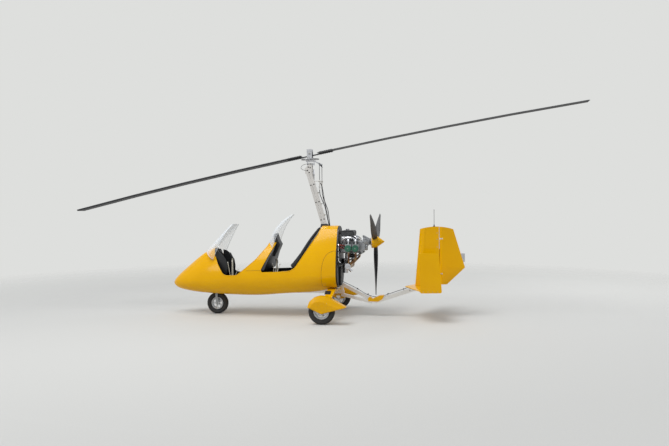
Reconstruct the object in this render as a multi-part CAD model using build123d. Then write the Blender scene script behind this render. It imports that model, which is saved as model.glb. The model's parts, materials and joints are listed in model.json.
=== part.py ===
"""Open tandem two-seat gyrocopter with a pusher engine, parked on its wheels.

Millimetres. +X points aft, +Y to starboard, +Z up. The origin is on the ground,
straight below the bolt on which the rotor teeters. The rotor is parked almost fore and
aft, tipped to its front stop.
"""
from build123d import *
from math import atan2, cos, degrees, hypot, pi, radians, sin
import os

# Rotor
ROTOR_RADIUS = 4300
ROTOR_TURN = -2.2
BLADE_ROOT = 150
BLADE_CHORD = 215
BLADE_THICK = 28
BLADE_DROOP = 92
TEETER_HEIGHT = 2622
TEETER_TILT = 8.4
HEAD_TILT = 2.0
HUB_BAR_LENGTH = 760
HUB_BAR_WIDTH = 56
HUB_BAR_THICK = 14
UNDERSLING = 26
TOWER_PLATE = 11
TOWER_DEPTH = 84
TOWER_TOP = 75
TEETER_BOLT_R = 8
RING_GEAR_R = 140
RING_GEAR_THICK = 14
PITCH_AXIS = (15, 2455)
PIN_R = 7
PIN_PLAY = 0.3

# Propeller
PROP_AXIS = 1203
PROP_PLANE = 1062
PROP_RADIUS = 850
PROP_BLADES = 3
PROP_CLEAR = 110
SPINNER_BASE = 1002
SPINNER_TIP = 1200
SPINNER_R = 105

# Mast and frame
MAST_DEPTH = 92
MAST_WIDTH = 60
MAST_TUBE = 40
MAST_TOP = (-38, 2397)
MAST_FOOT = (437, 765)
POST_X = 415
POST_SIZE = 60
CHEEK_THICK = 8
KEEL_SIZE = 50
KEEL_HEIGHT = 392
KEEL_FRONT = -1555
KEEL_REAR = 545
BOOM_DEPTH = 62
BOOM_WIDTH = 50
BEND = (1045, PROP_AXIS - PROP_RADIUS - PROP_CLEAR)
BOOM_END = (1700, 462)

# Wheels
NOSE_AXLE = (-1594, 178)
NOSE_TYRE_R = 178
NOSE_TYRE_WIDTH = 98
NOSE_RIM_R = 100
MAIN_AXLE = (330, 200)
MAIN_TYRE_R = 200
MAIN_TYRE_WIDTH = 104
MAIN_RIM_R = 120
HALF_TRACK = 800
BOW_TOP = 439
BOW_THICK = 22
RIM_GAP = 0.3

# Body shell
WALL = 6
SEAM = 0.5
SILL = 737

# Engine
CRANK_HEIGHT = 1137
ENGINE_FRONT = 520
ENGINE_REAR = 930
FIREWALL_FRONT = 448
FIREWALL_REAR = 490

# Tail
STAB_HEIGHT = 488
STAB_HALF_SPAN = 585
HINGE_X = 2098
RUDDER_NOSE_R = 33
TAIL_TOP = 1440
TAIL_ARCH = (2015, 855)

os.makedirs("parts", exist_ok=True)
nodes = {}


def save(name, shape):
    """Writes one named piece, which may hold several solids."""
    nodes[name] = shape
    solids = shape.solids() if hasattr(shape, "solids") else shape
    export_step(Compound(children=list(solids)), f"parts/{name}.step")


def side_profile(points, width, bend=None, centre=0):
    """A plate with the outline points in the fore-and-aft plane, width thick."""
    if bend:
        line = FilletPolyline(*points, radius=bend, close=True)
    else:
        line = Polyline(*points, close=True)
    face = make_face(Plane.XZ * line)
    return Pos(0, centre, 0) * extrude(face, amount=width / 2, both=True)


def beam(start, end, depth, width, y=0):
    """A straight bar between two points of the fore-and-aft plane."""
    run = hypot(end[0] - start[0], end[1] - start[1])
    rise = degrees(atan2(end[1] - start[1], end[0] - start[0]))
    middle = Pos((start[0] + end[0]) / 2, y, (start[1] + end[1]) / 2)
    return middle * Rot(0, -rise, 0) * Box(run, width, depth)


def rod(start, end, radius):
    """A round bar between two points in space."""
    axis = Vector(*end) - Vector(*start)
    plane = Plane(origin=Vector(*start), z_dir=axis)
    return extrude(plane * Circle(radius), amount=axis.length)


def pipe(points, radius, bend):
    """A round pipe along straight runs joined by tangent arcs."""
    line = FilletPolyline(*points, radius=bend)
    return sweep((line ^ 0) * Circle(radius), path=line)


def disc(radius, width, x, y, z):
    """A round disc whose axis lies across the aircraft."""
    return Pos(x, y, z) * Rot(90, 0, 0) * Cylinder(radius, width)


def mirrored(shape):
    """The piece and its twin on the other side."""
    return Compound(children=[*shape.solids(), *mirror(shape, about=Plane.XZ).solids()])


# Body form: station, bottom, top, half width, height of it, half width of the crown
STATIONS = [
    (-2352, 490, 540, 24, 515, 10),
    (-2300, 446, 612, 86, 522, 26),
    (-2180, 408, 722, 158, 538, 46),
    (-1960, 374, 902, 236, 565, 72),
    (-1700, 354, 1072, 292, 595, 98),
    (-1250, 338, 1130, 346, 622, 132),
    (-700, 346, 1192, 370, 642, 186),
    (-540, 360, 1206, 372, 648, 186),
    (-100, 389, 1396, 376, 662, 174),
    (200, 421, 1462, 372, 688, 166),
    (330, 452, 1462, 368, 694, 167),
    (470, 478, 1462, 362, 702, 168),
]
FLAT_SHARE = 0.34


def bulge(half, level, end):
    """Middle point of the arc that leaves (half, level) upright and ends at end."""
    reach = half - end[0]
    rise = end[1] - level
    radius = (reach * reach + rise * rise) / (2 * reach)
    angle = atan2(rise, end[0] - half + radius) / 2
    return (half - radius + radius * cos(angle), level + radius * sin(angle))


def section(bottom, top, half, level, crown):
    """Closed cross-section: flat belly, round bilges, leaning sides and a crown."""
    flat = half * FLAT_SHARE
    shoulder = (crown, top - crown * 0.32)
    low = (flat, bottom)
    side = bulge(half, level, shoulder)
    bilge = bulge(half, level, low)
    edges = [
        Line((-flat, bottom), low),
        ThreePointArc(low, bilge, (half, level)),
        ThreePointArc((half, level), side, shoulder),
        ThreePointArc(shoulder, (0, top), (-crown, shoulder[1])),
        ThreePointArc((-crown, shoulder[1]), (-side[0], side[1]), (-half, level)),
        ThreePointArc((-half, level), (-bilge[0], bilge[1]), (-flat, bottom)),
    ]
    return make_face(Wire(edges))


def body_form(grow):
    """The body's outer form, grown by a distance, or shrunk where it is negative."""
    faces = []
    for x, bottom, top, half, level, crown in STATIONS:
        nose = -grow if x < -2310 else 0
        if grow < 0 and x > 400:
            nose = FIREWALL_REAR - x
        height = top - crown * 0.32 - level
        lean = 1 - 0.25 * grow / height
        face = section(bottom - grow, top + grow, half + grow, level, crown * lean + 0.7 * grow)
        faces.append(Plane.YZ.offset(x + nose) * face)
    return loft(faces)


outer = body_form(0)
inner = body_form(-WALL)
lining = body_form(-WALL - SEAM)

# Cockpit openings, cut straight across the body
FRONT_RIM = [(-1690, 1400), (-1640, 1140), (-1490, 850), (-1372, 668), (-1150, 674),
             (-1000, 792), (-839, 930), (-672, 1140), (-655, 1500)]
REAR_RIM = [(-556, 1500), (-550, 1156), (-765, 728), (-215, 752), (160, 1322),
            (235, 1500)]
front_cut = side_profile(FRONT_RIM, 900, bend=[1, 60, 150, 110, 90, 120, 200, 60, 1])
rear_cut = side_profile(REAR_RIM, 900, bend=[1, 20, 34, 210, 200, 1])
shell = outer - inner
shell = shell - front_cut - rear_cut

# Nose wheel well, and the slots for the keel, the mast, its post and the cables
WELL_R = 80
well = Pos(NOSE_AXLE[0], 0, 300) * Cylinder(WELL_R, 260)
mast_slot = beam(MAST_FOOT, MAST_TOP, MAST_DEPTH + 30, MAST_WIDTH + 30)
keel_slot = Pos(100, 0, KEEL_HEIGHT) * Box(1500, KEEL_SIZE + 20, KEEL_SIZE + 20)
cable_slot = Pos(314, 0, 1450) * Box(56, 100, 300)
post_slot = Pos(POST_X, 0, 470) * Box(POST_SIZE + 20, POST_SIZE + 20, 60)
shell = shell - well - mast_slot - keel_slot - cable_slot - post_slot

# Engine cheek panels lie over openings in the shell
CHEEK = [(492, 1100), (350, 1052), (262, 950), (228, 700), (238, 498), (492, 498)]
cheek_zone = side_profile(CHEEK, 900, bend=[1, 70, 130, 160, 30, 1])
cheek_open = side_profile(
    [(600, 1060), (372, 1022), (300, 935), (266, 700), (272, 540), (600, 540)], 900
)
blister = body_form(9) - body_form(SEAM)
save("cheek_panels", blister & cheek_zone & Pos(340, 0, 800) * Box(256, 1000, 800))
shell = shell - cheek_open

divider_zone = Pos(-700, 0, SILL + 400) * Box(600, 1000, 800)
save("divider_fairing", shell & Pos(0, 0, SEAM) * divider_zone)
shell = shell - divider_zone
hull = max(shell.solids(), key=lambda s: s.volume)
save("hull", hull)

# Cockpit interior
FLOOR = 446
floor_zone = Pos(-1000, 0, FLOOR + 4) * Box(1840, 1000, 8)
seat_pan = lining & Pos(-355.5, 0, 614) * Box(169, 900, 11.4)
save("floor", Compound(children=[*(lining & floor_zone).solids(), *seat_pan.solids()]))
bulkhead = Pos(FIREWALL_FRONT + 50, 0, 900) * Box(100, 1000, 1200)
save("firewall", (lining & bulkhead) - mast_slot)

# Instrument pod: hood, slanted dial face, knee and foot
FRONT_POD = [(-1690, 1052), (-1630, 1116), (-1600, 1106), (-1540, 950), (-1500, 860),
             (-1490, 760), (-1540, 690), (-1620, 690), (-1650, 860)]
front_pod = side_profile(FRONT_POD, 380, bend=10) & lining
DIAL_FACE = Plane(origin=(-1570, 0, 1028), x_dir=(0, 1, 0), z_dir=(0.933, 0, 0.359))
# Dials: across, up, radius
DIALS = [(-110, 8, 38), (0, 14, 44), (110, 8, 38), (-64, -48, 17), (64, -48, 17)]
for across, up, radius in DIALS:
    front_pod = front_pod - DIAL_FACE * Pos(across, up, 0) * Cylinder(radius, 8)
save("front_pod", front_pod)
PANEL = 12
SEAT_GAP = PANEL / 2 + 0.3
FRONT_BACK = [(-900, 470), (-548, 1204)]
REAR_BACK = [(-290, 560), (46, 1180)]
REAR_REST = [(46, 1180), (206, 1418)]


def at_height(line, z):
    """The place on a seat panel's middle line at a height."""
    (x0, z0), (x1, z1) = line
    return (x0 + (x1 - x0) / (z1 - z0) * (z - z0), z)


def behind(line, z):
    """Where the rear face of a seat panel stands at a height."""
    (x0, z0), (x1, z1) = line
    return at_height(line, z)[0] + SEAT_GAP * hypot(1, (x1 - x0) / (z1 - z0))


REAR_POD = [(behind(FRONT_BACK, 760), 760), (behind(FRONT_BACK, 1160), 1160), (-545, 1160),
            (-568, 1070), (-612, 970), (-690, 760)]
POD_HOOD = [(behind(FRONT_BACK, 965), 965), (behind(FRONT_BACK, 1203), 1203), (-596, 1203),
            (-592, 1322), (-566, 1338), (-530, 1235), (-489, 1160), (-525, 1075), (-580, 965)]
rear_pod = (side_profile(REAR_POD, 900) & lining) + side_profile(POD_HOOD, 180)
clear_of_body = body_form(SEAM)
band = (clear_of_body - lining) & Pos(-643, 0, 1200) * Box(214, 600, 400)
rear_pod = rear_pod - band
save("rear_pod", rear_pod)


def seat_panel(start, end):
    """A seat back panel that fills the body between its walls."""
    return beam(start, end, PANEL, 900) & lining


def cushion(start, end, thick, width, lift):
    """A padded slab along a line, lifted off it, its edges rounded."""
    run = hypot(end[0] - start[0], end[1] - start[1])
    side = (-(end[1] - start[1]) / run, (end[0] - start[0]) / run)
    shift = lift + thick / 2
    low = (start[0] + side[0] * shift, start[1] + side[1] * shift)
    high = (end[0] + side[0] * shift, end[1] + side[1] * shift)
    slab = beam(low, high, thick, width)
    return fillet(slab.edges(), thick * 0.3)


save("front_seat_back", seat_panel(*FRONT_BACK))
save("rear_seat_back", seat_panel(*REAR_BACK) + seat_panel(*REAR_REST) - mast_slot)
save("front_back_cushion", cushion(
    at_height(FRONT_BACK, 582), at_height(FRONT_BACK, 1078), 50, 350, SEAT_GAP))
rear_pads = cushion(at_height(REAR_BACK, 711), at_height(REAR_BACK, 1161), 50, 340, SEAT_GAP)
rear_pads = rear_pads + cushion(
    at_height(REAR_REST, 1222), at_height(REAR_REST, 1380), 44, 260, SEAT_GAP)
save("rear_back_cushion", rear_pads)
save("front_cushion", cushion((-1235, FLOOR + 8.3), (-925, FLOOR + 8.3), 90, 400, 0))
save("rear_cushion", cushion((-427, 620), (-269, 620), 70, 380, 0))

# Windscreens: clear sheets bowed round the cowl, drawn from foot to head
SHEET = 3
# Columns: height, place of the middle, place of the side edges, half width
FRONT_SCREEN = [(900, -1925, -1590, 268), (1160, -1655, -1470, 250), (1400, -1425, -1335, 205),
                (1490, -1330, -1262, 150)]
REAR_SCREEN = [(1100, -676, -592, 216), (1290, -652, -525, 186), (1460, -548, -440, 140),
               (1640, -315, -280, 62)]


def windscreen(rows):
    """A sheet lofted through crescents, cut where it meets the body."""
    faces = []
    for z, nose, side, half in rows:
        inner = half - SHEET
        outside = ThreePointArc((side, -half), (nose, 0), (side, half))
        inside = ThreePointArc((side, inner), (nose + SHEET, 0), (side, -inner))
        ends = [Line((side, half), (side, inner)), Line((side, -inner), (side, -half))]
        edges = [outside.edge(), ends[0].edge(), inside.edge(), ends[1].edge()]
        faces.append(Plane.XY.offset(z) * make_face(Wire(edges)))
    return max((loft(faces) - clear_of_body).solids(), key=lambda s: s.volume)


save("front_windscreen", windscreen(FRONT_SCREEN))
save("rear_windscreen", windscreen(REAR_SCREEN))

# Controls in the cockpits: base, knee and grip of each stick
STICK_R = 11
GRIP_R = 17
STICK_FOOT = 16
# Columns: foot, top and grip end along X, then the heights of the top and the grip end
STICKS = [(-1322, -1334, -1378, 925, 1010), (-562, -568, -574, 850, 915)]
sticks = []
for foot, top, tip, neck, height in STICKS:
    stem = rod((foot, 0, FLOOR + 9), (top, 0, neck), STICK_R)
    socket = Pos(foot, 0, FLOOR + 8.3 + STICK_FOOT / 2) * Cylinder(30, STICK_FOOT)
    sticks.append(stem + socket + rod((top, 0, neck), (tip, 0, height), GRIP_R))
save("control_sticks", Compound(children=[s for part in sticks for s in part.solids()]))
pedals = []
for x, y in [(-1880, 100), (-1050, 262)]:
    for side in (-1, 1):
        pedals.append(Pos(x, side * y, FLOOR + 8.3 + 60) * Box(12, 60, 120))
save("pedals", Compound(children=pedals))

# Mast, keel and the frame behind the body
mast_solid = beam(MAST_FOOT, MAST_TOP, MAST_DEPTH, MAST_WIDTH)
mast_run = hypot(MAST_TOP[0] - MAST_FOOT[0], MAST_TOP[1] - MAST_FOOT[1])
along = ((MAST_TOP[0] - MAST_FOOT[0]) / mast_run, (MAST_TOP[1] - MAST_FOOT[1]) / mast_run)
mast = mast_solid
# Open lengths between the ties, measured from the foot of the mast
for low, high in [(755, 945), (975, 1175), (1205, 1405), (1510, 1585)]:
    low_end = (MAST_FOOT[0] + along[0] * low, MAST_FOOT[1] + along[1] * low)
    high_end = (MAST_FOOT[0] + along[0] * high, MAST_FOOT[1] + along[1] * high)
    mast = mast - beam(low_end, high_end, MAST_DEPTH - 2 * MAST_TUBE, MAST_WIDTH + 2)
post = Pos(POST_X, 0, (BOW_TOP + 790) / 2) * Box(POST_SIZE, POST_SIZE, 790 - BOW_TOP)
save("mast", mast + post)
keel = Pos((KEEL_FRONT + KEEL_REAR) / 2, 0, KEEL_HEIGHT) * Box(
    KEEL_REAR - KEEL_FRONT, KEEL_SIZE, KEEL_SIZE)
lower_tube = beam((500, 350), (BEND[0] - 45, BEND[1] - 7), 48, 46)
upper_tube = beam((507, 520), BEND, 48, 40)
rear_post = Pos(520, 0, (KEEL_HEIGHT + 520) / 2) * Box(36, 40, 520 - KEEL_HEIGHT)
for x in (-1300, -700, -150):
    keel = keel + Pos(x, 0, (KEEL_HEIGHT + KEEL_SIZE / 2 + FLOOR) / 2) * Box(
        60, KEEL_SIZE, FLOOR - KEEL_HEIGHT - KEEL_SIZE / 2)
keel = keel + lower_tube + upper_tube + rear_post
save("keel", keel - mast_solid)
boom = beam(BEND, BOOM_END, BOOM_DEPTH, BOOM_WIDTH)
save("tail_boom", boom - keel)
# Saddle over the bend of the frame: distances aft of it and above it
SADDLE = [(-111, 50), (-82, 80), (-36, 46), (68, 98), (151, 106), (118, 41), (53, 4), (-105, 6)]
saddle = side_profile([(BEND[0] + aft, BEND[1] + up) for aft, up in SADDLE], 96, bend=6)
save("saddle_fairing", saddle - keel - boom)

# Mast head: cheek plates that hold the pitch pin
px, pz = PITCH_AXIS
CHEEK_PLATE = [(px - 88, 2300), (px + 18, 2300), (px + 26, pz), (px + 12, pz + 17),
               (px - 14, pz + 17), (px - 100, 2380)]
plate = side_profile(CHEEK_PLATE, CHEEK_THICK, centre=-(MAST_WIDTH + CHEEK_THICK) / 2)
plate = plate - disc(PIN_R + PIN_PLAY, 200, px, 0, pz)
save("mast_head_plates", mirrored(plate))

# Gimbal block with its pitch pin across and roll pins fore and aft
block = Pos(px, 0, pz) * Box(64, MAST_WIDTH - 2, 44)
block = block + disc(PIN_R, MAST_WIDTH + 2 * CHEEK_THICK + 8, px, 0, pz)
block = block + rod((px - 62, 0, pz), (px + 62, 0, pz), PIN_R)


def on_head(shape):
    """Leans a piece of the head forward about the pitch pin."""
    return Pos(px, 0, pz) * Rot(0, -HEAD_TILT, 0) * Pos(-px, 0, -pz) * shape


save("gimbal_block", on_head(block))

rise = TEETER_HEIGHT - pz
SPINDLE = px + rise * sin(radians(HEAD_TILT)) - px * cos(radians(HEAD_TILT))
bridge = Pos(px, 0, pz + 48) * Box(150, 84, 12)
for x in (px - 54, px + 54):
    bridge = bridge + Pos(x, 0, pz + 12) * Box(10, 44, 62)
    bridge = bridge - Pos(x, 0, pz) * Rot(0, 90, 0) * Cylinder(PIN_R + PIN_PLAY, 20)
bridge = bridge + Pos(SPINDLE, 0, pz + 62) * Cylinder(36, 18)
ARM = (160, -8)
ROD_Y = 104
ROLL_ROOM = 2.5
lean = radians(HEAD_TILT)
ROD_X = px + ARM[0] * cos(lean) - ARM[1] * sin(lean)
EYE = pz + ARM[0] * sin(lean) + ARM[1] * cos(lean)
bridge = bridge + side_profile(
    [(px + 60, pz + 54), (px + ARM[0] + 12, pz + 4), (px + ARM[0] + 12, pz + ARM[1] - 12),
     (px + ARM[0] - 12, pz + ARM[1] - 12), (px + 60, pz + 42)], 40)
bridge = bridge + Pos(px + ARM[0], 0, pz + ARM[1]) * Box(24, 2 * (ROD_Y - 12), 24)
bridge = bridge + disc(5, 2 * (ROD_Y - 7 - ROLL_ROOM), px + ARM[0], 0, pz + ARM[1])
save("head_bridge", on_head(bridge))

# Ring gear and tower turn on the spindle
GEAR_Z = pz + 71 + RIM_GAP + RING_GEAR_THICK / 2
tower = Pos(SPINDLE, 0, GEAR_Z) * Cylinder(RING_GEAR_R, RING_GEAR_THICK)
TEETER_Z = pz + rise * cos(lean) + px * sin(lean)
plate_z = (GEAR_Z + TEETER_Z + TOWER_TOP) / 2
for side in (-1, 1):
    y = side * (HUB_BAR_WIDTH / 2 + 4 + TOWER_PLATE / 2)
    upright = Pos(SPINDLE, y, plate_z) * Box(TOWER_DEPTH, TOWER_PLATE, TEETER_Z + TOWER_TOP - GEAR_Z)
    upright = upright - disc(TEETER_BOLT_R + PIN_PLAY, 200, SPINDLE, 0, TEETER_Z)
    tower = tower + upright
turned = Pos(SPINDLE, 0, 0) * Rot(0, 0, ROTOR_TURN) * Pos(-SPINDLE, 0, 0) * tower
save("rotor_tower", on_head(turned))


def on_rotor(shape):
    """Moves a piece drawn about the teeter bolt to the parked rotor."""
    return Pos(0, 0, TEETER_HEIGHT) * Rot(0, -HEAD_TILT, 0) * Rot(0, 0, ROTOR_TURN) * Rot(
        0, -TEETER_TILT, 0) * shape


bar = Pos(0, 0, -UNDERSLING - HUB_BAR_THICK / 2) * Box(HUB_BAR_LENGTH, HUB_BAR_WIDTH, HUB_BAR_THICK)
bar = bar + Box(60, HUB_BAR_WIDTH, 2 * UNDERSLING)
bar = bar + disc(TEETER_BOLT_R, HUB_BAR_WIDTH + 2 * TOWER_PLATE + 20, 0, 0, 0)
save("hub_bar", on_rotor(bar))


def blade_section(r):
    """Blade section across the span: round nose, curved back, flat underside."""
    nose = BLADE_CHORD * 0.27
    tail = nose - BLADE_CHORD
    free = max(0, r - HUB_BAR_LENGTH / 2) / (ROTOR_RADIUS - HUB_BAR_LENGTH / 2)
    low = -UNDERSLING - BLADE_DROOP * free ** 2
    high = low + BLADE_THICK
    edges = [
        Line((tail, low), (nose - 14, low)),
        ThreePointArc((nose - 14, low), (nose, low + 9), (nose - 20, high - 3)),
        ThreePointArc((nose - 20, high - 3), (nose - 66, high), (nose - 112, high - 6)),
        Line((nose - 112, high - 6), (tail, low + 3)),
        Line((tail, low + 3), (tail, low)),
    ]
    return Plane.YZ.offset(r) * make_face(Wire([e.edge() for e in edges]))


stations = [BLADE_ROOT, HUB_BAR_LENGTH / 2, 1300, 2250, 3200, ROTOR_RADIUS]
aft_blade = loft([blade_section(r) for r in stations], ruled=True)
fore_blade = Rot(0, 0, 180) * aft_blade
save("rotor_blades", on_rotor(Compound(children=[*aft_blade.solids(), *fore_blade.solids()])))

# Push-pull rods slide in guides on a bracket behind the mast
BRACKET_Z = 2180
ROD_R = 5
eye_z = EYE
for name, side in [("rod_left", -1), ("rod_right", 1)]:
    y = side * ROD_Y
    stem = rod((ROD_X, y, BRACKET_Z - 40), (ROD_X, y, eye_z - 8), ROD_R)
    eye = disc(13, 14, ROD_X, y, eye_z)
    save(name, stem + eye)
bracket = Pos(100, 0, BRACKET_Z) * Box(150, MAST_WIDTH, 8)
bracket = bracket + Pos(ROD_X, 0, BRACKET_Z) * Box(34, 2 * ROD_Y + 34, 8)
for side in (-1, 1):
    guide = rod((ROD_X, side * ROD_Y, 2040), (ROD_X, side * ROD_Y, BRACKET_Z + 12), 10)
    bore = rod((ROD_X, side * ROD_Y, 2060), (ROD_X, side * ROD_Y, BRACKET_Z + 20), ROD_R + PIN_PLAY)
    bracket = bracket + guide - bore
save("cable_bracket", bracket - mast_solid)
cables = []
for side in (-1, 1):
    cables.append(pipe([(ROD_X, side * ROD_Y, 2039), (ROD_X + 6, side * ROD_Y, 1960),
                        (280, side * 66, 1700), (318, side * 34, 1420)], 6, 120))
save("control_cables", Compound(children=[s for c in cables for s in c.solids()]))


# Engine
cz = CRANK_HEIGHT
CASE_HALF = 115
CASE_TOP = cz + 85
CASE = [(ENGINE_FRONT, cz - 115), (ENGINE_FRONT, CASE_TOP), (760, CASE_TOP), (900, cz + 40),
        (900, cz - 60), (760, cz - 115)]
save("crankcase", side_profile(CASE, 2 * CASE_HALF, bend=14))
GEAR_REAR = ENGINE_REAR + 52
cone_long = GEAR_REAR - 860
cone = Pos(860 + cone_long / 2, 0, PROP_AXIS) * Rot(0, 90, 0) * Cone(98, 40, cone_long)
gearbox = cone + rod((860, 0, cz - 10), (ENGINE_REAR, 0, cz - 10), 64)
save("gearbox", gearbox - nodes["crankcase"])
FIRST_BANK = 655
BANK_PITCH = 115
HEAD_Y = 236
COVER_END = 318
cylinders = []
covers = []
for row in range(2):
    for side in (-1, 1):
        x = FIRST_BANK + row * BANK_PITCH
        barrel = rod((x, side * CASE_HALF, cz - 20), (x, side * 262, cz - 20), 46)
        for fin in range(4):
            y = side * (130 + fin * 24)
            barrel = barrel + disc(56, 6, x, y, cz - 20)
        barrel = barrel + Pos(x, side * HEAD_Y, cz - 20) * Box(100, 52, 108)
        cylinders.append(barrel)
        covers.append(rod((x, side * 262, cz - 30), (x, side * (COVER_END - 14), cz - 30), 54))
        covers[-1] = covers[-1] + rod((x, side * 262, cz - 30), (x, side * COVER_END, cz - 30), 44)
save("cylinders", Compound(children=[s for c in cylinders for s in c.solids()]))
save("rocker_covers", Compound(children=[s for c in covers for s in c.solids()]))
runners = []
carbs = []
for side in (-1, 1):
    for row in range(2):
        x = FIRST_BANK + row * BANK_PITCH
        runners.append(pipe([(590, side * 100, 1250), (x - 8, side * 130, 1252),
                             (x, side * HEAD_Y, 1240), (x, side * HEAD_Y, cz + 34)], 18, 30))
    carbs.append(Pos(560, side * 110, CASE_TOP + 35) * Box(60, 70, 70))
manifold = runners[0] + runners[1] + carbs[0]
manifold = manifold + (runners[2] + runners[3] + carbs[1])
save("intake", manifold)
silencer = rod((640, -230, 820), (640, 230, 820), 46)
silencer = silencer + rod((650, -196, 800), (698, -196, 748), 26)
for side in (-1, 1):
    for row in range(2):
        x = FIRST_BANK + row * BANK_PITCH
        silencer = silencer + pipe([(x, side * HEAD_Y, cz - 74), (x, side * HEAD_Y, 950),
                                    (650 + row * 10, side * 180, 834)], 17, 34)
save("exhaust", silencer)
radiator = Pos(625, 0, 1342) * Box(210, 300, 84)
radiator = fillet(radiator.edges().filter_by(Axis.Y), 28)
for x in (562, 688):
    for side in (-1, 1):
        radiator = radiator + Pos(x, side * 60, (CASE_TOP + 1300) / 2) * Box(24, 6, 1300 - CASE_TOP)
save("radiator", radiator)
TANK_R = 46
save("oil_tank", Pos(FIREWALL_REAR + TANK_R + RIM_GAP, 205, 800) * Cylinder(TANK_R, 240))
MOUNT_Z = cz - 97
mount_y = CASE_HALF + 12 + RIM_GAP
PAD_X = FIREWALL_REAR + 8 + RIM_GAP
mount = rod((PAD_X, -mount_y, MOUNT_Z), (ENGINE_REAR - 60, -mount_y, MOUNT_Z), 12)
mount = mount + rod((PAD_X, -mount_y, 822), (ENGINE_REAR - 60, -mount_y, MOUNT_Z), 12)
for z in (MOUNT_Z, 822):
    mount = mount + Pos(PAD_X, -mount_y / 2, z) * Box(16, mount_y + 40, 40)
save("engine_mount", mount + mirror(mount, about=Plane.XZ))

# Propeller and spinner


def prop_section(r, chord, pitch):
    """Propeller blade section at radius r, turned by its pitch out of the disc."""
    thick = 6 + chord * 0.1
    rear = ThreePointArc((-chord / 2, 0), (chord * 0.2, thick * 0.38), (chord / 2, 0))
    front = ThreePointArc((chord / 2, 0), (chord * 0.2, -thick * 0.62), (-chord / 2, 0))
    along = (sin(radians(pitch)), cos(radians(pitch)), 0)
    place = Plane(origin=(PROP_PLANE, 0, PROP_AXIS - r), x_dir=along, z_dir=(0, 0, -1))
    return place * make_face(Wire([rear.edge(), front.edge()]))


# Blade stations: radius, chord, pitch in degrees
PROP_STATIONS = [(60, 70, -62), (300, 118, -40), (600, 104, -24), (PROP_RADIUS, 48, -16)]
blade = loft([prop_section(*row) for row in PROP_STATIONS])
blades = []
for k in range(PROP_BLADES):
    turn = Pos(0, 0, PROP_AXIS) * Rot(k * 360 / PROP_BLADES, 0, 0) * Pos(0, 0, -PROP_AXIS)
    blades.append(turn * blade)
hub = rod((ENGINE_REAR + 52 + RIM_GAP, 0, PROP_AXIS), (PROP_PLANE + 30, 0, PROP_AXIS), 66)
propeller = hub
for blade in blades:
    propeller = propeller + blade
save("propeller", propeller)
cone = revolve(Plane.XZ * make_face(Polyline(
    (SPINNER_BASE, PROP_AXIS), (SPINNER_BASE, PROP_AXIS + SPINNER_R),
    (PROP_PLANE + 20, PROP_AXIS + SPINNER_R - 14), (SPINNER_TIP, PROP_AXIS + 6),
    (SPINNER_TIP, PROP_AXIS), close=True)), axis=Axis((0, 0, PROP_AXIS), (1, 0, 0)))
save("spinner", cone - propeller)

# Main gear: a spring bow across, axle stubs, brakes, wheels and spats
SPAT_HALF = 86
BOW_END = HALF_TRACK - SPAT_HALF - 4
half_bow = [(0, BOW_TOP), (150, BOW_TOP), (216, 464), (244, 469), (BOW_END - 22, 262),
            (BOW_END, 262), (BOW_END, 236), (BOW_END - 32, 236), (232, 444), (220, 441),
            (156, BOW_TOP - BOW_THICK), (0, BOW_TOP - BOW_THICK)]
bow_face = make_face(Plane.YZ * Polyline(*half_bow, close=True))
# Plan of the spring: it tapers from the body to the wheel
BOW_PLAN = [(318, 0), (318, 230), (297, BOW_END + 5), (390, BOW_END + 5), (453, 230), (453, 0)]
plan = extrude(make_face(Polyline(*BOW_PLAN, close=True)), amount=600)
bow = Pos(375, 0, 0) * extrude(bow_face, amount=120, both=True) & plan
bow = bow + mirror(bow, about=Plane.XZ)
save("gear_bow", bow)
ax, az = MAIN_AXLE
SPAT_INSIDE = 60
axle_end = HALF_TRACK + SPAT_INSIDE - RIM_GAP
stub = Pos(ax, -(BOW_END - 14), 222) * Box(60, 24, 27.9)
stub = stub + rod((ax, -(BOW_END - 26), az), (ax, -axle_end, az), 12)
stub = stub - bow
save("axles", mirrored(stub))


def tyre(radius, rim_radius, width, x, y, z):
    """A ring with round shoulders, turned about the axle."""
    w = width / 2
    edge = [(rim_radius, -w * 0.62), (rim_radius + 14, -w * 0.86), ((radius + rim_radius) / 2, -w),
            (radius - 14, -w * 0.72), (radius, -w * 0.3)]
    half = edge + [(r, -y0) for r, y0 in reversed(edge)]
    face = make_face(Plane.XY * Polyline(*half, close=True))
    ring = revolve(face, axis=Axis.Y)
    return Pos(x, y, z) * ring


def rim(radius, width, bore, x, y, z, spokes):
    """Wheel rim: outer ring, disc with holes between the spokes, and hub."""
    w = width / 2
    ring = Pos(x, y, z) * Rot(90, 0, 0) * (Cylinder(radius, width) - Cylinder(radius - 12, width))
    web = Pos(x, y, z) * Rot(90, 0, 0) * Cylinder(radius - 11, 10)
    for k in range(spokes):
        angle = 2 * pi * k / spokes
        web = web - disc(radius * 0.2, 40, x + radius * 0.58 * cos(angle), y, z + radius * 0.58 * sin(angle))
    hub = disc(radius * 0.27, width * 0.8, x, y, z)
    return ring + web + hub - disc(bore, 400, x, y, z)


AXLE_R = 12
for name, y in [("left", -HALF_TRACK), ("right", HALF_TRACK)]:
    save(f"main_tyre_{name}", tyre(MAIN_TYRE_R, MAIN_RIM_R + RIM_GAP, MAIN_TYRE_WIDTH, ax, y, az))
    save(f"main_rim_{name}", rim(MAIN_RIM_R, 64, AXLE_R + PIN_PLAY, ax, y, az, 6))
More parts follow.
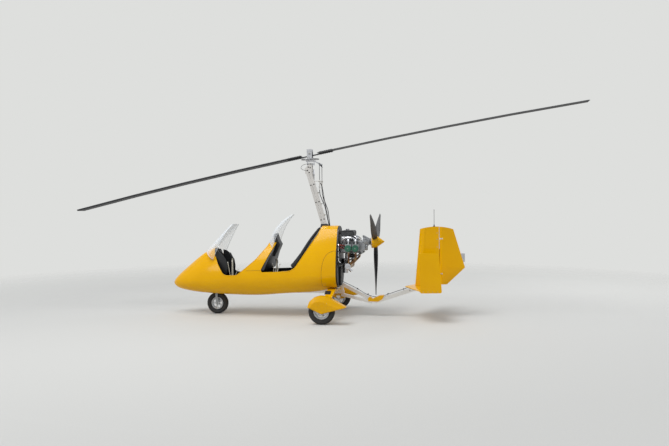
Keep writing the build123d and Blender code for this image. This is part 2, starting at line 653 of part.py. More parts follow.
# Spat: its outline near the middle, then the flat panel on each side, point for point
SPAT_EDGE = [(118, 256), (150, 345), (215, 404), (300, 430), (400, 426), (450, 404), (690, 276),
             (702, 262), (329, 157)]
SPAT_FLAT = [(165, 262), (190, 307), (235, 340), (303, 352), (372, 341), (447, 302), (589, 256),
             (600, 246), (329, 172)]
spat_faces = []
for y, outline in [(-SPAT_HALF, SPAT_FLAT), (-54, SPAT_EDGE), (54, SPAT_EDGE),
                   (SPAT_HALF, SPAT_FLAT)]:
    plane = Plane(origin=(0, y - HALF_TRACK, 0), x_dir=(1, 0, 0), z_dir=(0, -1, 0))
    spat_faces.append(plane * make_face(Polyline(*outline, close=True)))
spat = loft(spat_faces, ruled=True)
spat = spat - disc(MAIN_TYRE_R + 12, 92, ax, -HALF_TRACK, az)
spat = spat - disc(MAIN_TYRE_R - 18, 2 * SPAT_INSIDE, ax, -HALF_TRACK, az)
spat = spat - disc(34, 60, ax, -HALF_TRACK + SPAT_INSIDE + 25, az)
save("spats", mirrored(spat))

# Nose gear
nx, nz = NOSE_AXLE
save("nose_tyre", tyre(NOSE_TYRE_R, NOSE_RIM_R + RIM_GAP, NOSE_TYRE_WIDTH, nx, 0, nz))
save("nose_rim", rim(NOSE_RIM_R, 56, AXLE_R + PIN_PLAY, nx, 0, nz, 5))
fork = Pos(nx, 0, 372) * Box(40, 136, 12) + rod((nx, 0, 372), (nx, 0, 436), 13)
for side in (-1, 1):
    fork = fork + Pos(nx, side * 62, 268) * Box(36, 10, 210)
fork = fork + disc(AXLE_R, 150, nx, 0, nz) - disc(8, 200, nx, 0, nz)
save("nose_fork", fork)
head_tube = Pos(nx, 0, 412) * (Cylinder(24, 52) - Cylinder(13 + PIN_PLAY, 60))
lug = Pos((nx + 15 + KEEL_FRONT) / 2, 0, 402) * Box(KEEL_FRONT - nx - 15, 40, 26)
save("steering_head", head_tube + lug - Pos(nx, 0, 412) * Cylinder(13 + PIN_PLAY, 60))

# Tail
def foil(chord_front, chord_rear, thick, plane):
    """Symmetric section with a round nose, from front to rear on a plane."""
    chord = chord_rear - chord_front
    tip = thick * 0.22
    high = chord_front + chord * 0.32
    bend = (chord_front + chord * 0.13, thick * 0.41)
    line = [
        ThreePointArc((chord_front + tip, -tip), (chord_front, 0), (chord_front + tip, tip)),
        ThreePointArc((chord_front + tip, tip), bend, (high, thick / 2)),
        Line((high, thick / 2), (chord_rear, thick * 0.36)),
        Line((chord_rear, thick * 0.36), (chord_rear, -thick * 0.36)),
        Line((chord_rear, -thick * 0.36), (high, -thick / 2)),
        ThreePointArc((high, -thick / 2), (bend[0], -bend[1]), (chord_front + tip, -tip)),
    ]
    return plane * make_face(Wire([e.edge() for e in line]))


stab_faces = []
for y, front, rear, thick in [(-STAB_HALF_SPAN, 1776, 2086, 30), (0, 1527, 2060, 44),
                              (STAB_HALF_SPAN, 1776, 2086, 30)]:
    plane = Plane(origin=(0, y, STAB_HEIGHT), x_dir=(1, 0, 0), z_dir=(0, -1, 0))
    stab_faces.append(foil(front, rear, thick, plane))
stabiliser = loft(stab_faces, ruled=True)
save("stabiliser", stabiliser - boom)
END_FIN = [(1784, 462), (2104, 470), (2062, 1058), (1772, 1062)]
end_fin = side_profile(END_FIN, 28, bend=24, centre=-(STAB_HALF_SPAN + 14))
save("end_fins", mirrored(end_fin))
fin_faces = []
for z, front, rear, thick in [(STAB_HEIGHT + 22.3, 1684, 2060, 96), (TAIL_TOP, 1766, 2060, 84)]:
    fin_faces.append(foil(front, rear, thick, Plane.XY.offset(z)))
arch = disc(TAIL_ARCH[1], 300, TAIL_ARCH[0], 0, TAIL_TOP - TAIL_ARCH[1])
save("centre_fin", loft(fin_faces, ruled=True) & arch)
save("antenna", rod((1984, 0, TAIL_TOP), (1984, 0, 1707), 3))


def rudder_section(z, rear):
    """Rudder section: round nose about the hinge, straight sides to a thin edge."""
    r = RUDDER_NOSE_R
    line = [
        ThreePointArc((HINGE_X, -r), (HINGE_X - r, 0), (HINGE_X, r)),
        Line((HINGE_X, r), (rear, 3)),
        Line((rear, 3), (rear, -3)),
        Line((rear, -3), (HINGE_X, -r)),
    ]
    return Plane.XY.offset(z) * make_face(Wire([e.edge() for e in line]))


rudder = loft([rudder_section(532, 2180), rudder_section(800, 2458),
               rudder_section(TAIL_TOP, 2266)], ruled=True) & arch
hinges = []
for z in (700, 1250):
    lug = Pos((2060 + HINGE_X + 12) / 2, 0, z) * Box(HINGE_X + 12 - 2060, 24, 8)
    hinges.append(lug + Pos(HINGE_X, 0, z) * Cylinder(5, 44))
    rudder = rudder - Pos(HINGE_X, 0, z) * Cylinder(RUDDER_NOSE_R + 2, 20)
    rudder = rudder - Pos(HINGE_X, 0, z) * Cylinder(5 + PIN_PLAY, 48)
save("rudder", rudder)
save("rudder_hinges", Compound(children=[s for h in hinges for s in h.solids()]))

total = sum(s.volume for shape in nodes.values() for s in shape.solids())
print(len(nodes), "nodes,", round(total / 1e9, 4), "cubic metres")
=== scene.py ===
"""The looks of an open tandem gyrocopter, parked on its wheels on a pale floor.

Metres. +X points aft, +Y to starboard, +Z up, and the origin is on the ground under the
rotor's teeter bolt. The camera stands to port, as high as a person's eyes.
"""

import json
import math

import bmesh
import bpy
from mathutils import Matrix, Vector
from mathutils.bvhtree import BVHTree


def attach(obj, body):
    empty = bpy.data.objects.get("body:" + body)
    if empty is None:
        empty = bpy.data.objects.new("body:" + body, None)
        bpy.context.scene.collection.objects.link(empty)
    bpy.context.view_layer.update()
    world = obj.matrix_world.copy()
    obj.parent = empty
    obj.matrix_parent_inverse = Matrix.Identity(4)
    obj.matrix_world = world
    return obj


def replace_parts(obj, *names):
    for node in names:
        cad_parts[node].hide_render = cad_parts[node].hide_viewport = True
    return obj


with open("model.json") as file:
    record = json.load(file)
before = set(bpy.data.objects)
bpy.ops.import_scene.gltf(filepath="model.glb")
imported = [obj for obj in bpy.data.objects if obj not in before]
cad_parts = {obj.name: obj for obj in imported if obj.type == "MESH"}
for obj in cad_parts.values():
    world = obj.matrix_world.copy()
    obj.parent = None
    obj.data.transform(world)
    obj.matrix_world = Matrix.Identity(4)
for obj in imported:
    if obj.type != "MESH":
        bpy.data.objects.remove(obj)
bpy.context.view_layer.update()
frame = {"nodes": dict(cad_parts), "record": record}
NODES = frame["nodes"]

# Driving sizes of the finishes, in millimetres
ORANGE_PEEL = 6
CAST_GRAIN = 2.5
WEAVE_THREAD = 1.6
MOULD_GRAIN = 1.8
BRUSH_LINE = 0.8
RUBBER_GRAIN = 1.2
WEBBING_RIB = 4
# A wave texture's period at a scale of one
WAVE_PERIOD = 6.28

# Port and starboard, and the frame's directions
SIDES = (-1, 1)
AFT = (1, 0, 0)
STARBOARD = (0, 1, 0)
UP = (0, 0, 1)

# Places that several pieces share, in millimetres
AXLE_X = 330
HALF_TRACK = 800
MAIN_RADIUS = 200
NOSE_X = -1594
NOSE_RADIUS = 178
PROP_HEIGHT = 1203
TEETER_HEIGHT = 2622


def colour(code):
    """An sRGB hex colour as a linear colour with full alpha."""
    parts = [int(code[i:i + 2], 16) / 255 for i in (1, 3, 5)]
    return tuple(p / 12.92 if p <= 0.04045 else ((p + 0.055) / 1.055) ** 2.4 for p in parts) + (1,)


def add(tree, kind, inputs=None, **settings):
    """Adds a node. Inputs are values, or a (node, output) pair that is linked."""
    made = tree.nodes.new(kind)
    for name, value in settings.items():
        setattr(made, name, value)
    for name, value in (inputs or {}).items():
        socket = made.inputs[name]
        if isinstance(value, tuple) and isinstance(value[0], bpy.types.Node):
            tree.links.new(value[0].outputs[value[1]], socket)
        else:
            socket.default_value = value
    return made


def per_mm(size):
    """Texture scale at which one period is that many millimetres."""
    return 1000 / size


def start_material(name, roughness, metallic=0.0, **sockets):
    """An empty material with one principled shader, whose plain values are set here."""
    made = bpy.data.materials.new(name)
    made.use_nodes = True
    tree = made.node_tree
    tree.nodes.clear()
    place = add(tree, "ShaderNodeTexCoord")
    shader = add(tree, "ShaderNodeBsdfPrincipled", {"Roughness": roughness, "Metallic": metallic})
    for socket, value in sockets.items():
        shader.inputs[socket.replace("_", " ")].default_value = value
    add(tree, "ShaderNodeOutputMaterial", {"Surface": (shader, 0)})
    return made, tree, place, shader


def stretched(tree, place, scale):
    """Object coordinates stretched along an axis, for grain that runs one way."""
    return add(tree, "ShaderNodeMapping", {"Vector": (place, "Object"), "Scale": scale})


def noise(tree, place, scale, detail=4, output="Object"):
    """A noise pattern on a piece's own coordinates."""
    return add(tree, "ShaderNodeTexNoise", {"Vector": (place, output), "Scale": scale,
                                            "Detail": detail, "Roughness": 0.55})


def spread(tree, source, low, high, to_low, to_high):
    """Maps a pattern's values from one range to another."""
    return add(tree, "ShaderNodeMapRange", {"Value": source, 1: low, 2: high, 3: to_low, 4: to_high})


def blend_colours(tree, share, first, second):
    """Mixes two colours, or a (node, output) pair and a colour, by a share."""
    mix = add(tree, "ShaderNodeMix", {0: share}, data_type="RGBA")
    for index, value in ((6, first), (7, second)):
        if isinstance(value, tuple) and isinstance(value[0], bpy.types.Node):
            tree.links.new(value[0].outputs[value[1]], mix.inputs[index])
        else:
            mix.inputs[index].default_value = colour(value)
    return mix


def put(tree, shader, socket, source):
    """Links a (node, output) pair to the shader."""
    tree.links.new(source[0].outputs[source[1]], shader.inputs[socket])


def relief(tree, shader, height, depth_mm, strength=1.0):
    """Raises the surface by a pattern, so many millimetres deep."""
    bump = add(tree, "ShaderNodeBump", {"Height": height, "Distance": depth_mm / 1000,
                                        "Strength": strength})
    put(tree, shader, "Normal", (bump, 0))


def mottled(name, light, dark, roughness, grain, depth, metallic=0.0, tone=3.0, rough_span=0.08,
            **sockets):
    """A finish with two close tones, uneven roughness and a fine grain, in millimetres."""
    made, tree, place, shader = start_material(name, roughness, metallic, **sockets)
    patches = noise(tree, place, tone)
    share = spread(tree, (patches, 0), 0.35, 0.65, 0, 1)
    tones = blend_colours(tree, (share, 0), light, dark)
    put(tree, shader, "Base Color", (tones, 2))
    wear = spread(tree, (patches, 0), 0.3, 0.7, roughness - rough_span, roughness + rough_span)
    put(tree, shader, "Roughness", (wear, 0))
    fine = noise(tree, place, per_mm(grain), detail=2)
    relief(tree, shader, (fine, 0), depth)
    return made, tree, place, shader


def yellow_gelcoat():
    """Gelcoat over glass fibre: deep even colour and wet gloss. Low down it turns a darker, duller orange in
    patches, which is painted shade of the belly mixed with dust.
    """
    made, tree, place, shader = start_material("yellow_gelcoat", 0.2, Specular_IOR_Level=0.14,
                                               Coat_Weight=0.08, Coat_Roughness=0.04)
    patches = noise(tree, place, 1.3)
    share = spread(tree, (patches, 0), 0.35, 0.65, 0, 1)
    tones = blend_colours(tree, (share, 0), "#E4AC00", "#DDA300")
    # Darker, rougher orange towards the bottom in patches: painted shade of the belly, mixed with dust
    height = add(tree, "ShaderNodeSeparateXYZ", {0: (place, "Object")})
    low = spread(tree, (height, 2), 0.62, 0.25, 0, 1)
    specks = noise(tree, place, 38, detail=6)
    patchy = add(tree, "ShaderNodeMath", {0: (low, 0), 1: (specks, 0)}, operation="MULTIPLY")
    dust_and_shade = spread(tree, (patchy, 0), 0.2, 0.75, 0, 0.35)
    dusty_and_shaded = blend_colours(tree, (dust_and_shade, 0), (tones, 2), "#A87A1C")
    put(tree, shader, "Base Color", (dusty_and_shaded, 2))
    rough = spread(tree, (dust_and_shade, 0), 0, 0.35, 0.18, 0.42)
    put(tree, shader, "Roughness", (rough, 0))
    peel = noise(tree, place, per_mm(ORANGE_PEEL), detail=1)
    relief(tree, shader, (peel, 0), 0.05, 0.5)
    return made


def seat_fabric():
    """Woven polyester over foam: crossed threads, soft sheen, a little faded."""
    made, tree, place, shader = start_material("seat_fabric", 0.9, Sheen_Weight=0.25,
                                               Sheen_Roughness=0.5)
    weave = per_mm(WEAVE_THREAD) / WAVE_PERIOD
    warp = add(tree, "ShaderNodeTexWave", {"Vector": (place, "Object"), "Scale": weave},
               bands_direction="Y")
    askew = add(tree, "ShaderNodeMapping", {"Vector": (place, "Object"), "Rotation": (0, 0.5, 0)})
    weft = add(tree, "ShaderNodeTexWave", {"Vector": (askew, 0), "Scale": weave},
               bands_direction="X")
    threads = add(tree, "ShaderNodeMath", {0: (warp, 1), 1: (weft, 1)}, operation="MAXIMUM")
    faded = noise(tree, place, 7)
    tones = blend_colours(tree, (faded, 0), "#17181B", "#25262A")
    put(tree, shader, "Base Color", (tones, 2))
    relief(tree, shader, (threads, 0), 0.4)
    return made


def clear_acrylic():
    """Blown acrylic sheet, finely scratched. It is clear face on, and a pale colour grows opaque towards
    edge on, which paints its reflection.
    """
    made, tree, place, shader = start_material("clear_acrylic", 0.05, IOR=1.49)
    shader.inputs["Base Color"].default_value = colour("#EEF2F6")
    # A pale colour that grows opaque towards edge-on angles: a painted reflection of the bright surround
    painted_reflection_facing = add(tree, "ShaderNodeLayerWeight", {"Blend": 0.5})
    body = spread(tree, (painted_reflection_facing, 1), 0.25, 1.0, 0.1, 0.8)
    put(tree, shader, "Alpha", (body, 0))
    run = stretched(tree, place, (40, 600, 40))
    scratches = noise(tree, run, 3, output=0)
    haze = spread(tree, (scratches, 0), 0.4, 0.8, 0.01, 0.1)
    put(tree, shader, "Roughness", (haze, 0))
    return made


def brushed(name, light, dark, roughness, stretch, dents=0.02):
    """Brushed metal: hairlines along one axis and slow changes of tone."""
    made, tree, place, shader = start_material(name, roughness, 1.0, Anisotropic=0.35)
    run = stretched(tree, place, stretch)
    lines = noise(tree, run, per_mm(BRUSH_LINE), output=0, detail=3)
    patches = noise(tree, place, 6)
    tones = blend_colours(tree, (patches, 0), light, dark)
    put(tree, shader, "Base Color", (tones, 2))
    gloss = spread(tree, (lines, 0), 0.3, 0.7, roughness - 0.07, roughness + 0.09)
    put(tree, shader, "Roughness", (gloss, 0))
    relief(tree, shader, (lines, 0), dents)
    return made


def rotor_black():
    """Extruded aluminium blades, coated near black, rubbed along their length."""
    made, tree, place, shader = start_material("rotor_black", 0.45, 0.0)
    run = stretched(tree, place, (0.6, 9, 9))
    streaks = noise(tree, run, 6, output=0, detail=5)
    tones = blend_colours(tree, (streaks, 0), "#0C0D12", "#15161D")
    put(tree, shader, "Base Color", (tones, 2))
    gloss = spread(tree, (streaks, 0), 0.3, 0.7, 0.4, 0.58)
    put(tree, shader, "Roughness", (gloss, 0))
    relief(tree, shader, (streaks, 0), 0.05)
    return made


def exhaust_steel():
    """Welded exhaust sheet, straw, brown and blue where heat has run through it."""
    made, tree, place, shader = start_material("exhaust_steel", 0.42, 1.0)
    heat = noise(tree, place, 9, detail=3)
    ramp = add(tree, "ShaderNodeValToRGB", {0: (heat, 0)})
    stops = ramp.color_ramp.elements
    for position, code in ((0.3, "#8C8378"), (0.45, "#A68A62"), (0.56, "#6E4E3B"), (0.7, "#4C4A55")):
        stop = stops.new(position)
        stop.color = colour(code)
    stops.remove(stops[0])
    stops.remove(stops[-1])
    put(tree, shader, "Base Color", (ramp, 0))
    soot = spread(tree, (heat, 0), 0.3, 0.7, 0.32, 0.55)
    put(tree, shader, "Roughness", (soot, 0))
    return made


def webbing():
    """Harness webbing: close cross ribs of pale polyester, dull."""
    made, tree, place, shader = start_material("webbing", 0.85, Sheen_Weight=0.2)
    ribs = add(tree, "ShaderNodeTexWave", {"Vector": (place, "Object"),
                                           "Scale": per_mm(WEBBING_RIB) / WAVE_PERIOD},
               bands_direction="Z")
    soiled = noise(tree, place, 12)
    tones = blend_colours(tree, (soiled, 0), "#C9C3B4", "#AFA899")
    put(tree, shader, "Base Color", (tones, 2))
    relief(tree, shader, (ribs, 1), 0.4)
    return made


def wrapped(name, light, dark, roughness, turn, depth):
    """Rubber hose with the mark of a cloth wrapped round it, one turn in so many millimetres."""
    made, tree, place, shader = mottled(name, light, dark, roughness, RUBBER_GRAIN, 0.1)
    cloth = add(tree, "ShaderNodeTexWave",
                {"Vector": (place, "Object"), "Scale": per_mm(turn) / WAVE_PERIOD},
                bands_direction="DIAGONAL")
    relief(tree, shader, (cloth, 1), depth)
    return made


# Two-tone finishes: light, dark, roughness, grain and its depth in millimetres, and what else differs
TWO_TONE = {
    # Moulded composite, satin black with a fine leather-like mould grain
    "black_composite": ("#191A1D", "#101113", 0.42, MOULD_GRAIN, 0.15, {}),
    # Rubber matting, dull and grey with dust in its grain
    "floor_black": ("#222222", "#2E2C29", 0.85, 3, 0.5, {}),
    # Plain drawn steel, dulled by handling
    "rod_steel": ("#8E8F90", "#6F7071", 0.42, 3, 0.05, {"metallic": 1.0, "tone": 14}),
    # Black plastic sleeve and rubber hose, slightly shiny
    "cable_black": ("#15151A", "#0E0E10", 0.5, RUBBER_GRAIN, 0.08, {"tone": 20}),
    # Thick green enamel on cast covers, glossy over a fine casting grain
    "green_enamel": ("#256B52", "#1B5440", 0.26, CAST_GRAIN, 0.12,
                     {"tone": 12, "Coat_Weight": 0.35, "Coat_Roughness": 0.1}),
    # Sand-cast aluminium: pale, grainy, oil-stained in patches
    "cast_aluminium": ("#B4B6B8", "#8D8F91", 0.5, CAST_GRAIN, 0.3, {"metallic": 0.9, "tone": 16}),
    # Silver wheel lacquer on a cast rim
    "wheel_silver": ("#D3D5D6", "#BEC0C2", 0.34, CAST_GRAIN, 0.06,
                     {"metallic": 0.55, "tone": 9, "Coat_Weight": 0.3, "Coat_Roughness": 0.12}),
    # Grey stove enamel on welded steel
    "grey_paint": ("#9B9EA0", "#868A8C", 0.4, 4, 0.06, {"metallic": 0.2, "tone": 8}),
    # Black tyre rubber, grey-brown with runway dust
    "tyre_rubber": ("#1B1B1C", "#2A2826", 0.8, RUBBER_GRAIN, 0.2, {"tone": 10, "rough_span": 0.1}),
    # Edge of acrylic sheet: its near-white colour is a painted highlight of the light the edge gathers
    "edge_acrylic": ("#F1F3F5", "#E2E6EA", 0.25, 4, 0.03, {"tone": 20, "Transmission_Weight": 0.25}),
    # Glass-fibre moulding along the screen's foot, off-white with a pink cast, satin
    "foot_moulding": ("#E6D2C6", "#D6BFB2", 0.4, ORANGE_PEEL, 0.04, {"tone": 14}),
    # Matt black instrument face and crackle-finished bezel
    "dial_black": ("#101114", "#0B0C0E", 0.55, 1.2, 0.12, {"tone": 30}),
    # White enamel of pointers, scale marks and knobs, slightly yellowed
    "dial_white": ("#E9E7DF", "#DCD9CE", 0.5, 2, 0.03, {"tone": 25}),
    # Extruded black rubber edging, matt
    "rubber_seal": ("#121213", "#1B1A1A", 0.7, RUBBER_GRAIN, 0.1, {"tone": 25}),
    # Black flock-lined glass fibre on the inside of the shell: matt and very dark
    "trim_black": ("#0C0C0E", "#141416", 0.9, 2, 0.2, {"tone": 9}),
    # Ivory stove enamel on thin lever rods
    "lever_enamel": ("#DAD4C2", "#C6BFAC", 0.38, 3, 0.04, {"tone": 18}),
    # Polished light-alloy tube with bright long highlights
    "bright_pipe": ("#E6E7EA", "#D2D4D8", 0.18, 5, 0.03, {"metallic": 1.0, "tone": 12}),
    # Zinc-plated bolts and clips, bluish with spots of dull yellow
    "zinc_steel": ("#B9BCC2", "#9B9786", 0.36, 3, 0.04, {"metallic": 1.0, "tone": 40}),
}
FINISHES = {name: mottled(name, *row, **more)[0] for name, (*row, more) in TWO_TONE.items()}
FINISHES.update({
    "yellow_gelcoat": yellow_gelcoat(),
    "seat_fabric": seat_fabric(),
    "clear_acrylic": clear_acrylic(),
    "rotor_black": rotor_black(),
    "exhaust_steel": exhaust_steel(),
    "webbing": webbing(),
    # Welded stainless tube, hand brushed, warm where weather has dulled it
    "stainless_steel": brushed("stainless_steel", "#E9E6E1", "#D4D1CC", 0.32, (1, 1, 0.04)),
    # Milled aluminium plate with close tool marks, unpainted
    "machined_aluminium": brushed("machined_aluminium", "#D2D3D5", "#BFC0C3", 0.28, (0.05, 1, 1)),
    # Textile-braided rubber hose, black with a ribbed cover
    "hose_rubber": wrapped("hose_rubber", "#141416", "#1E1D1F", 0.6, 5, 0.4),
    # Brick-red silicone hose, satin
    "silicone_red": wrapped("silicone_red", "#7A2E22", "#5C241C", 0.5, 7, 0.5),
})

# Nodes whose finish differs from their slot's plain one
OTHER_FINISH = {
    "exhaust": "exhaust_steel",
    "control_sticks": "lever_enamel",
    "intake": "bright_pipe",
    "hub_bar": "rotor_black",
    "main_rim_left": "wheel_silver",
    "main_rim_right": "wheel_silver",
    "nose_rim": "wheel_silver",
    "crankcase": "cast_aluminium",
    "gearbox": "cast_aluminium",
}


def dress_frame():
    """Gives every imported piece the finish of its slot."""
    for row in frame["record"]["subparts"]:
        name = row["node"]
        node = NODES[name]
        finish = FINISHES[OTHER_FINISH.get(name, row["material_slot"])]
        node.data.materials.clear()
        node.data.materials.append(finish)


def smooth(mesh, angle=35):
    """Shades a mesh smooth, except over edges sharper than the angle."""
    mesh.shade_smooth()
    mesh.set_sharp_from_angle(angle=math.radians(angle))


def at(x, y, z):
    """A place given in millimetres."""
    return Vector((x, y, z)) / 1000


def meshed(name, shape):
    """A bmesh as a mesh."""
    mesh = bpy.data.meshes.new(name)
    shape.to_mesh(mesh)
    shape.free()
    return mesh


def linked(name, data):
    """A new object in the scene."""
    made = bpy.data.objects.new(name, data)
    bpy.context.scene.collection.objects.link(made)
    return made


def evaluated(holder):
    """A mesh of what an object's modifiers make of it."""
    ready = holder.evaluated_get(bpy.context.evaluated_depsgraph_get())
    return bpy.data.meshes.new_from_object(ready)


def piece(name, shape, finish, body="airframe", angle=35):
    """Turns a bmesh into a finished object that rides on a body."""
    bmesh.ops.remove_doubles(shape, verts=shape.verts, dist=1e-6)
    bmesh.ops.recalc_face_normals(shape, faces=shape.faces)
    return dress_piece(name, meshed(name, shape), finish, body, angle)


def dress_piece(name, mesh, finish, body="airframe", angle=35):
    """Makes a mesh an object in its finish, riding on a body."""
    mesh.materials.clear()
    mesh.materials.append(FINISHES[finish])
    smooth(mesh, angle)
    made = linked(name, mesh)
    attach(made, body)
    return made


def around(middle, side, other, radius, steps):
    """Places round a circle of a radius in millimetres, in the plane of two directions."""
    turns = [2 * math.pi * k / steps for k in range(steps)]
    return [middle + (side * math.cos(t) + other * math.sin(t)) * radius / 1000 for t in turns]


def lathe(rows, centre, axis, steps=48, shape=None, ring=False):
    """Spins rows of (distance along the axis, radius) about an axis, in millimetres."""
    shape = shape or bmesh.new()
    axis = Vector(axis).normalized()
    side = axis.orthogonal().normalized()
    other = axis.cross(side)
    rings = []
    for along, radius in rows:
        middle = at(*centre) + axis * along / 1000
        places = around(middle, side, other, radius, steps) if radius else [middle]
        rings.append([shape.verts.new(place) for place in places])
    for low, high in zip(rings, rings[1:] + rings[:1] if ring else rings[1:]):
        for k in range(steps):
            n = (k + 1) % steps
            if len(low) == 1:
                shape.faces.new((low[0], high[k], high[n]))
            elif len(high) == 1:
                shape.faces.new((low[k], low[n], high[0]))
            else:
                shape.faces.new((low[k], low[n], high[n], high[k]))
    return shape


def bridge(shape, rings):
    """Joins rings of vertices with a skin and fills both ends."""
    count = len(rings[0])
    for low, high in zip(rings, rings[1:]):
        for k in range(count):
            n = (k + 1) % count
            shape.faces.new((low[k], low[n], high[n], high[k]))
    shape.faces.new(rings[0])
    shape.faces.new(rings[-1])


def drum(centre, axis, radius, length, shape=None, steps=32, edge=1.0):
    """A short round bar with broken edges, from its centre."""
    half = length / 2
    rows = [(-half, 0), (-half, radius - edge), (-half + edge, radius),
            (half - edge, radius), (half, radius - edge), (half, 0)]
    return lathe(rows, centre, axis, steps, shape)


def hose(points, radius, shape=None, sides=2, bent=True, steps=6):
    """A round tube through points in millimetres, smooth or with sharp corners."""
    line = bpy.data.curves.new("line", "CURVE")
    line.dimensions = "3D"
    line.bevel_depth = radius / 1000
    line.bevel_resolution = sides
    line.use_fill_caps = True
    line.resolution_u = steps if bent else 1
    spline = line.splines.new("BEZIER")
    spline.bezier_points.add(len(points) - 1)
    for knot, place in zip(spline.bezier_points, points):
        knot.co = at(*place)
        knot.handle_left_type = knot.handle_right_type = "AUTO" if bent else "VECTOR"
    holder = bpy.data.objects.new("line", line)
    mesh = bpy.data.meshes.new_from_object(holder)
    shape = shape or bmesh.new()
    shape.from_mesh(mesh)
    bpy.data.objects.remove(holder)
    bpy.data.curves.remove(line)
    bpy.data.meshes.remove(mesh)
    return shape


def plate(outline, thick, centre, along, up, shape=None, edge=0.8):
    """A flat plate with broken edges: an outline in two directions, in millimetres."""
    own = bmesh.new()
    along = Vector(along).normalized()
    up = Vector(up).normalized()
    out = along.cross(up) * thick / 2000
    flat = [at(*centre) + (along * a + up * b) / 1000 for a, b in outline]
    low = [own.verts.new(p - out) for p in flat]
    high = [own.verts.new(p + out) for p in flat]
    own.faces.new(low)
    own.faces.new(high)
    for k in range(len(flat)):
        n = (k + 1) % len(flat)
        own.faces.new((low[k], low[n], high[n], high[k]))
    bmesh.ops.recalc_face_normals(own, faces=own.faces)
    if edge:
        bmesh.ops.bevel(own, geom=own.edges[:], offset=edge / 1000, segments=1, affect="EDGES")
    mesh = meshed("plate", own)
    shape = shape or bmesh.new()
    shape.from_mesh(mesh)
    bpy.data.meshes.remove(mesh)
    return shape


def block(size, centre, shape=None, along=AFT, up=UP, edge=2.0):
    """A box with broken edges; its sizes run along, up and across."""
    a, b = size[0] / 2, size[1] / 2
    outline = [(-a, -b), (a, -b), (a, b), (-a, b)]
    return plate(outline, size[2], centre, along, up, shape, edge)


def strap(points, width, across, thick=1.6, shape=None):
    """A flat woven strap through points, lying along the across direction."""
    shape = shape or bmesh.new()
    across = Vector(across).normalized() * width / 2000
    places = [at(*p) for p in points]
    rings = []
    for k, place in enumerate(places):
        ahead = places[min(k + 1, len(places) - 1)] - places[max(k - 1, 0)]
        out = ahead.cross(across).normalized() * thick / 2000
        rings.append([shape.verts.new(place + s * across + t * out)
                      for s, t in ((-1, -1), (1, -1), (1, 1), (-1, 1))])
    bridge(shape, rings)
    return shape


def eased(points, steps=6):
    """More points on a smooth line through the given ones."""
    places = [Vector(p) for p in points]
    places = [places[0]] + places + [places[-1]]
    line = []
    for k in range(1, len(places) - 2):
        a, b, c, d = places[k - 1:k + 3]
        for s in range(steps):
            t = s / steps
            line.append(0.5 * ((2 * b) + (c - a) * t + (2 * a - 5 * b + 4 * c - d) * t * t
                               + (3 * b - a - 3 * c + d) * t ** 3))
    return [tuple(p) for p in line] + [tuple(places[-1])]


def start_tree(name, sockets):
    """A node tree for a modifier that repeats a shape, with its named inputs."""
    tree = bpy.data.node_groups.new(name, "GeometryNodeTree")
    for label, kind in sockets + [("Finish", "Material")]:
        tree.interface.new_socket(name=label, in_out="INPUT", socket_type="NodeSocket" + kind)
    tree.interface.new_socket(name="Made", in_out="OUTPUT", socket_type="NodeSocketGeometry")
    return tree, add(tree, "NodeGroupInput")


def end_tree(tree, given, stood):
    """Makes the repeated shapes real, in the given finish."""
    real = add(tree, "GeometryNodeRealizeInstances", {0: (stood, 0)})
    finished = add(tree, "GeometryNodeSetMaterial", {0: (real, 0), "Material": (given, "Finish")})
    add(tree, "NodeGroupOutput", {0: (finished, 0)})
    return tree


def fastener_tree():
    """Node tree that stands a head with a washer on every point, along its facing."""
    tree, given = start_tree("set_fasteners", [
        ("Places", "Geometry"), ("Head radius", "Float"), ("Head height", "Float"),
        ("Washer radius", "Float"), ("Sides", "Int")])
    head = add(tree, "GeometryNodeMeshCylinder", {
        "Vertices": (given, "Sides"), "Radius": (given, "Head radius"),
        "Depth": (given, "Head height")})
    lift = add(tree, "ShaderNodeMath", {0: (given, "Head height"), 1: 0.5}, operation="MULTIPLY")
    up = add(tree, "ShaderNodeCombineXYZ", {"Z": (lift, 0)})
    raised = add(tree, "GeometryNodeTransform", {"Geometry": (head, 0), "Translation": (up, 0)})
    washer = add(tree, "GeometryNodeMeshCylinder", {
        "Vertices": 16, "Radius": (given, "Washer radius"), "Depth": 0.0012})
    both = add(tree, "GeometryNodeJoinGeometry")
    tree.links.new(raised.outputs[0], both.inputs[0])
    tree.links.new(washer.outputs[0], both.inputs[0])
    facing = add(tree, "GeometryNodeInputNamedAttribute", {"Name": "facing"},
                 data_type="FLOAT_VECTOR")
    turn = add(tree, "FunctionNodeAlignRotationToVector", {"Vector": (facing, 0)}, axis="Z")
    stood = add(tree, "GeometryNodeInstanceOnPoints", {
        "Points": (given, "Places"), "Instance": (both, 0), "Rotation": (turn, 0)})
    return end_tree(tree, given, stood)


def repeated(name, mesh, tree, given, finish, body="airframe"):
    """A piece that a node tree makes from a mesh, with its inputs given by name."""
    given["Finish"] = FINISHES[finish]
    holder = linked(name, mesh)
    rule = holder.modifiers.new("repeat", "NODES")
    rule.node_group = tree
    for socket in tree.interface.items_tree:
        if socket.name in given:
            rule[socket.identifier] = given[socket.name]
    made = evaluated(holder)
    bpy.data.objects.remove(holder)
    return dress_piece(name, made, finish, body, 30)


def fasteners(name, places, finish, body="airframe", radius=6, height=4, washer=9, sides=6):
    """Stands heads on rows of (place in millimetres, facing)."""
    mesh = bpy.data.meshes.new(name)
    mesh.from_pydata([at(*place) for place, facing in places], [], [])
    layer = mesh.attributes.new("facing", "FLOAT_VECTOR", "POINT")
    for row, (place, facing) in zip(layer.data, places):
        row.vector = Vector(facing).normalized()
    repeated(name, mesh, FASTENER_TREE, {
        "Head radius": radius / 1000, "Head height": height / 1000,
        "Washer radius": washer / 1000, "Sides": sides}, finish, body)


# The node tree that stands the heads of all fasteners
FASTENER_TREE = fastener_tree()


CAMERA_AT = Vector((2.148, -10.043, 1.710))
CAMERA_YAW = 0.1728
CAMERA_DOWN = 0.0204
CAMERA_ROLL = -0.0079
FOCAL_PIXELS = 631.46
PHOTO_WIDTH = 669
SENSOR = 36


